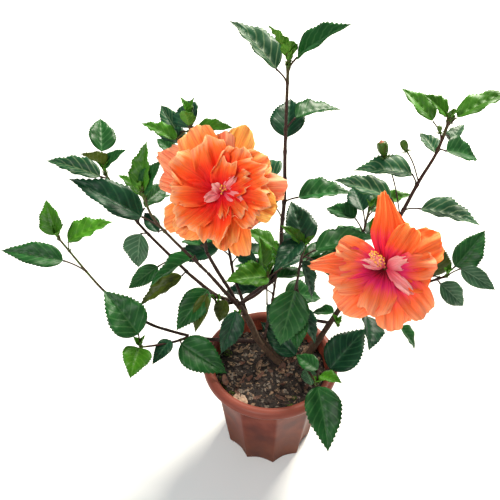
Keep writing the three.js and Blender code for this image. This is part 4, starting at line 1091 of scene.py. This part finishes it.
# A petal's outline: how fast it widens, where it is widest, its width at the end as a share of that, how it
# narrows towards the end, how far its corners draw back, and how far its end leans to one side.
OUTLINES = {
    "fan": (1.1, 0.7, 0.9, 2.8, 0.12, 0),
    "sail": (1.0, 0.5, 0.3, 1.15, 0.02, 0.2),
    "strap": (0.8, 0.62, 0.78, 2.4, 0.14, 0),
}


def petal_half_width(along, outline):
    """A petal's half width as a share of its widest: a narrow claw that opens and closes to its end."""
    widening, widest_at, end, narrowing = OUTLINES[outline][:4]
    if along <= widest_at:
        return 0.1 + 0.9 * math.sin(0.5 * math.pi * along / widest_at) ** widening
    return 1 - (1 - end) * ((along - widest_at) / (1 - widest_at)) ** narrowing


def add_petal(mesh, place, row, number, throat):
    """One petal: cupped, pleated, curled back and ruffled most at its margin."""
    angle, length, width, opening, ruffle, outline, silk = row
    chance = seeded(900 + number)
    outward, level = heading(angle, 90 - opening), heading(angle + 90, 0)
    twist = math.radians(0.5 * (110 - opening) * (next(chance) - 0.5))
    across = level * math.cos(twist) + outward.cross(level) * math.sin(twist)
    inner = outward.cross(across)
    start = Vector([10 * next(chance) for _ in range(3)])
    cup = PETAL["cup"] * (2 - opening / 80)
    drawn_back, lean = OUTLINES[outline][4:]
    lean += 0.3 * (next(chance) - 0.5) * (outline == "fan")
    pleats, frills = 2.5 + 2 * next(chance), 1.4 + 1.1 * next(chance)
    made = bmesh.ops.create_grid(mesh, x_segments=30, y_segments=24, size=0.5, calc_uvs=True)["verts"]
    for vert in made:
        share, along = 2 * vert.co.x, vert.co.y + 0.5
        margin = max(abs(share) ** 4 * min(1, 2 * along), along ** 6)
        loose = noise.noise(Vector((share * 1.3, along * 1.6, 0)) + start)
        fine = noise.noise(Vector((share * 5, along * 4, 3)) + start)
        side = share * width / 2 * petal_half_width(along, outline) + lean * length * along * along
        reach = PETAL["root"] + along * (length - PETAL["root"]) * (1 - drawn_back * share * share * along)
        reach += margin * 0.08 * length * (loose + 0.35 * fine)
        rise = cup * width * (share / 2) ** 2 * along - PETAL["recurve"] * length * along * along
        rise += throat * length * math.sin(math.pi * along)
        rise += 0.05 * width * along ** 0.6 * math.sin(math.pi * pleats * share + start.x + 1.5 * loose)
        rise += ruffle * along * (loose + 0.45 * along * math.sin(1.6 * math.pi * share + start.y))
        frill = math.sin(math.tau * frills * (0.5 * share + along) + start.z)
        rise += ruffle * margin * (0.34 * frill + 0.35 * fine)
        vert.co = place @ ((outward * reach + across * side + inner * rise) * MM)
    deal_material(made, list(SILKS).index(silk))


def bloom_frame(shape):
    """The placing matrix of a bloom: its face looks along local Z from its heart."""
    facing = heading(shape["bearing"], shape["lift"])
    right = heading(shape["bearing"] + 90, 0)
    upright = facing.cross(right)
    heart = (Vector(shape["centre"]) - facing * PETAL["heart_depth"]) * MM
    return Matrix.Translation(heart) @ Matrix((right, upright, facing)).transposed().to_4x4()


def build_petals(shape, first):
    mesh = bmesh.new()
    mesh.loops.layers.uv.new("UVMap")
    place = bloom_frame(shape)
    for number, row in enumerate(shape["petals"]):
        add_petal(mesh, place, row, first + number, shape["throat"])
    return mesh


def build_flower_stalk(shape):
    """The stalk, the ribbed green cup behind the petals and its narrow bracts."""
    mesh = bmesh.new()
    place = bloom_frame(shape)
    facing = heading(shape["bearing"], shape["lift"])
    behind = place.translation / MM - facing * 16
    stalk = smooth_line([*shape["stalk"], behind], 6)
    add_limb(mesh, stalk, lambda t: 1.7 + 0.8 * t * t, 10, 3, lambda t: 0.1 * (1 - t))
    add_limb(
        mesh, [behind + facing * step for step in (0, 5, 10, 14)],
        lambda t: 3 + 6.5 * math.sin(math.pi * (0.12 + 0.5 * t)), 15, 2, 0,
        lambda along, turn, radius, centre: 0.08 * radius * math.cos(5 * turn),
    )
    for k in range(BRACTS):
        out = (place.to_3x3() @ spoke(math.tau * k / BRACTS)).normalized()
        path = [behind + out * 2, behind + out * 9 - facing * 1, behind + out * 14 + facing * 6]
        add_limb(mesh, smooth_line(path, 4), lambda t: 1.0 * (1 - t) + 0.2, 5, 2, 0)
    return mesh


def build_column(shape, seed):
    """The pollen column: a slim tube that carries hair-thin filaments, each tipped with an anther."""
    tube, dust = bmesh.new(), bmesh.new()
    place = bloom_frame(shape)
    angle, length, lean, count = shape["column"]
    axis = heading(angle, 90 - lean)
    side = axis.orthogonal().normalized()
    other = axis.cross(side)
    chance = seeded(seed)

    def rod(points, radius, sides, step):
        add_limb(tube, [(place @ (point * MM)) / MM for point in points], radius, sides, step, 0)

    def anther(point, radius):
        tip = Matrix.Translation(place @ (point * MM))
        bmesh.ops.create_icosphere(dust, subdivisions=1, radius=radius * MM, matrix=tip)

    rod([Vector(), axis * length * 0.5, axis * length], lambda t: 1.9 - 0.7 * t, 8, 3)
    for k in range(count):
        start = axis * length * (0.35 + 0.62 * (k + next(chance)) / count)
        around = math.tau * (k * 0.382 + 0.1 * next(chance))
        out = side * math.cos(around) + other * math.sin(around) + axis * 0.25
        end = start + out.normalized() * (4.5 + 3 * next(chance))
        rod([start, end], 0.3, 4, 4)
        anther(end, 0.9 + 0.4 * next(chance))
    for k in range(5):
        around = math.tau * k / 5
        end = axis * (length + 6) + (side * math.cos(around) + other * math.sin(around)) * 3
        rod([axis * length, end], 0.45, 5, 3)
        anther(end, 1.3)
    return tube, dust


def petal_silk(name, stops, streak):
    """Petal silk: soft and a little translucent, coloured from claw to edge, with veins fanning outwards."""
    material, nodes, shader = start_material(
        name, "#f08a50", Roughness=0.7, IOR=1.35, Subsurface_Weight=0.3, Subsurface_Scale=1.0,
        Subsurface_Radius=(0.004, 0.0015, 0.0008),
    )
    chart = add_node(nodes, "UVMap", uv_map="UVMap")
    along = add_node(nodes, "SeparateXYZ", {0: chart}, give="Y")
    fan = add_node(nodes, "Mapping", {"Vector": chart, "Scale": (26.0, 1.6, 1.0)})
    fibres = add_node(nodes, "TexNoise", {"Vector": fan, "Scale": 1.0, "Detail": 3.0})
    ragged = add_node(nodes, "MapRange", {
        "Value": fibres, "From Min": 0.3, "From Max": 0.7, "To Min": -streak, "To Max": streak,
    })
    reach = add_node(nodes, "Math", {0: along, 1: ragged}, operation="ADD")
    colour = add_node(nodes, "ValToRGB", {0: reach}, stops)
    veins = add_node(nodes, "MapRange", {"Value": fibres, "From Min": 0.48, "From Max": 0.62, "To Max": 0.5})
    veined = {0: veins, 6: colour, 7: "#d85a34"}
    feed(nodes, shader, {
        "Base Color": add_node(nodes, "Mix", veined, data_type="RGBA", blend_type="MULTIPLY"),
        "Normal": add_node(nodes, "Bump", {"Height": fibres, "Strength": 0.4, "Distance": 0.0006}),
    })
    return material


# Hibiscus petals: crimson at the claw, red-orange in the heart of the bloom, paling to peach or gold at the
# ruffled edge. The gold is partly painted light, the brighter yellow of petals lit through from behind. The
# small petals that stand where stamens were are pink.
silks = [petal_silk(f"{name}_petal_silk", stops, streak) for name, (stops, streak) in SILKS.items()]
# The column is the same silk, rolled to a tube, blotched rose and peach.
column_silk = flecked("pollen_column_silk", "#f0705a", 0.5, 400.0, 2.0, [(0.4, "#e84a5a"), (0.6, "#f6a080")])
# Pollen: a dry golden powder on every anther.
pollen = flecked("pollen", "#f4b02c", 0.95, 1500.0, 2.0, [(0.4, "#e88a1c"), (0.6, "#ffd05a")])

for bloom_number, (bloom_name, bloom_shape) in enumerate(BLOOMS.items()):
    petal_mesh = build_petals(bloom_shape, 50 * bloom_number)
    petals = place_piece(f"{bloom_name}_petals", petal_mesh, silks, [bloom_name], closed=False)
    body = petals.modifiers.new("petal_thickness", "SOLIDIFY")
    body.thickness = PETAL["thickness"] * MM
    body.offset = 0
    place_piece(f"{bloom_name}_stalk", build_flower_stalk(bloom_shape), [rind], [bloom_name])
    column, grains = build_column(bloom_shape, 120 + bloom_number)
    place_piece(f"{bloom_name}_column", column, [column_silk], [bloom_name])
    place_piece(f"{bloom_name}_pollen", grains, [pollen], [bloom_name])


# The studio: a pale sweep of floor, a large soft lamp high on the right behind the plant, a broad weak one in
# front, and an even cool sky, as on an overcast day. The camera stands above and in front, looking down.

floor_mesh = bmesh.new()
bmesh.ops.create_grid(floor_mesh, x_segments=1, y_segments=1, size=12)
floor_data = bpy.data.meshes.new("studio_floor")
floor_mesh.to_mesh(floor_data)
floor_mesh.free()
# Seamless paper: pale and matt, so it takes a soft shadow without a shine.
floor_data.materials.append(start_material("seamless_paper", "#f4f4f2", Roughness=0.9)[0])
floor = bpy.data.objects.new("studio_floor", floor_data)
bpy.context.scene.collection.objects.link(floor)

# A lamp's place in metres, its width, its power in watts and its colour.
LAMPS = {
    "high_lamp": ((1.5, 2.3, 3.2), 1.6, 380, (1.0, 0.95, 0.82)),
    "front_lamp": ((-1.1, -2.2, 2.8), 1.3, 74, (1.0, 0.98, 0.95)),
}
for lamp_name, (spot, width, power, tone) in LAMPS.items():
    data = bpy.data.lights.new(lamp_name, "AREA")
    data.shape = "DISK"
    data.size = width
    data.energy = power
    data.color = tone
    lamp = bpy.data.objects.new(lamp_name, data)
    lamp.location = spot
    lamp.rotation_euler = (Vector((0, 0, 0.4)) - Vector(spot)).to_track_quat("-Z", "Y").to_euler()
    bpy.context.scene.collection.objects.link(lamp)

sky = bpy.data.worlds.new("even_sky")
sky.use_nodes = True
sky.node_tree.nodes["Background"].inputs["Color"].default_value = (0.76, 0.89, 1.0, 1)
sky.node_tree.nodes["Background"].inputs["Strength"].default_value = 0.3
bpy.context.scene.world = sky
bpy.context.scene.view_settings.view_transform = "Standard"

lens = bpy.data.cameras.new("camera")
lens.sensor_width = 36
lens.lens = 43.2
camera = bpy.data.objects.new("camera", lens)
camera.location = (-0.0347, -0.6644, 0.9972)
camera.rotation_euler = (math.radians(50), 0, 0)
bpy.context.scene.collection.objects.link(camera)
bpy.context.scene.camera = camera
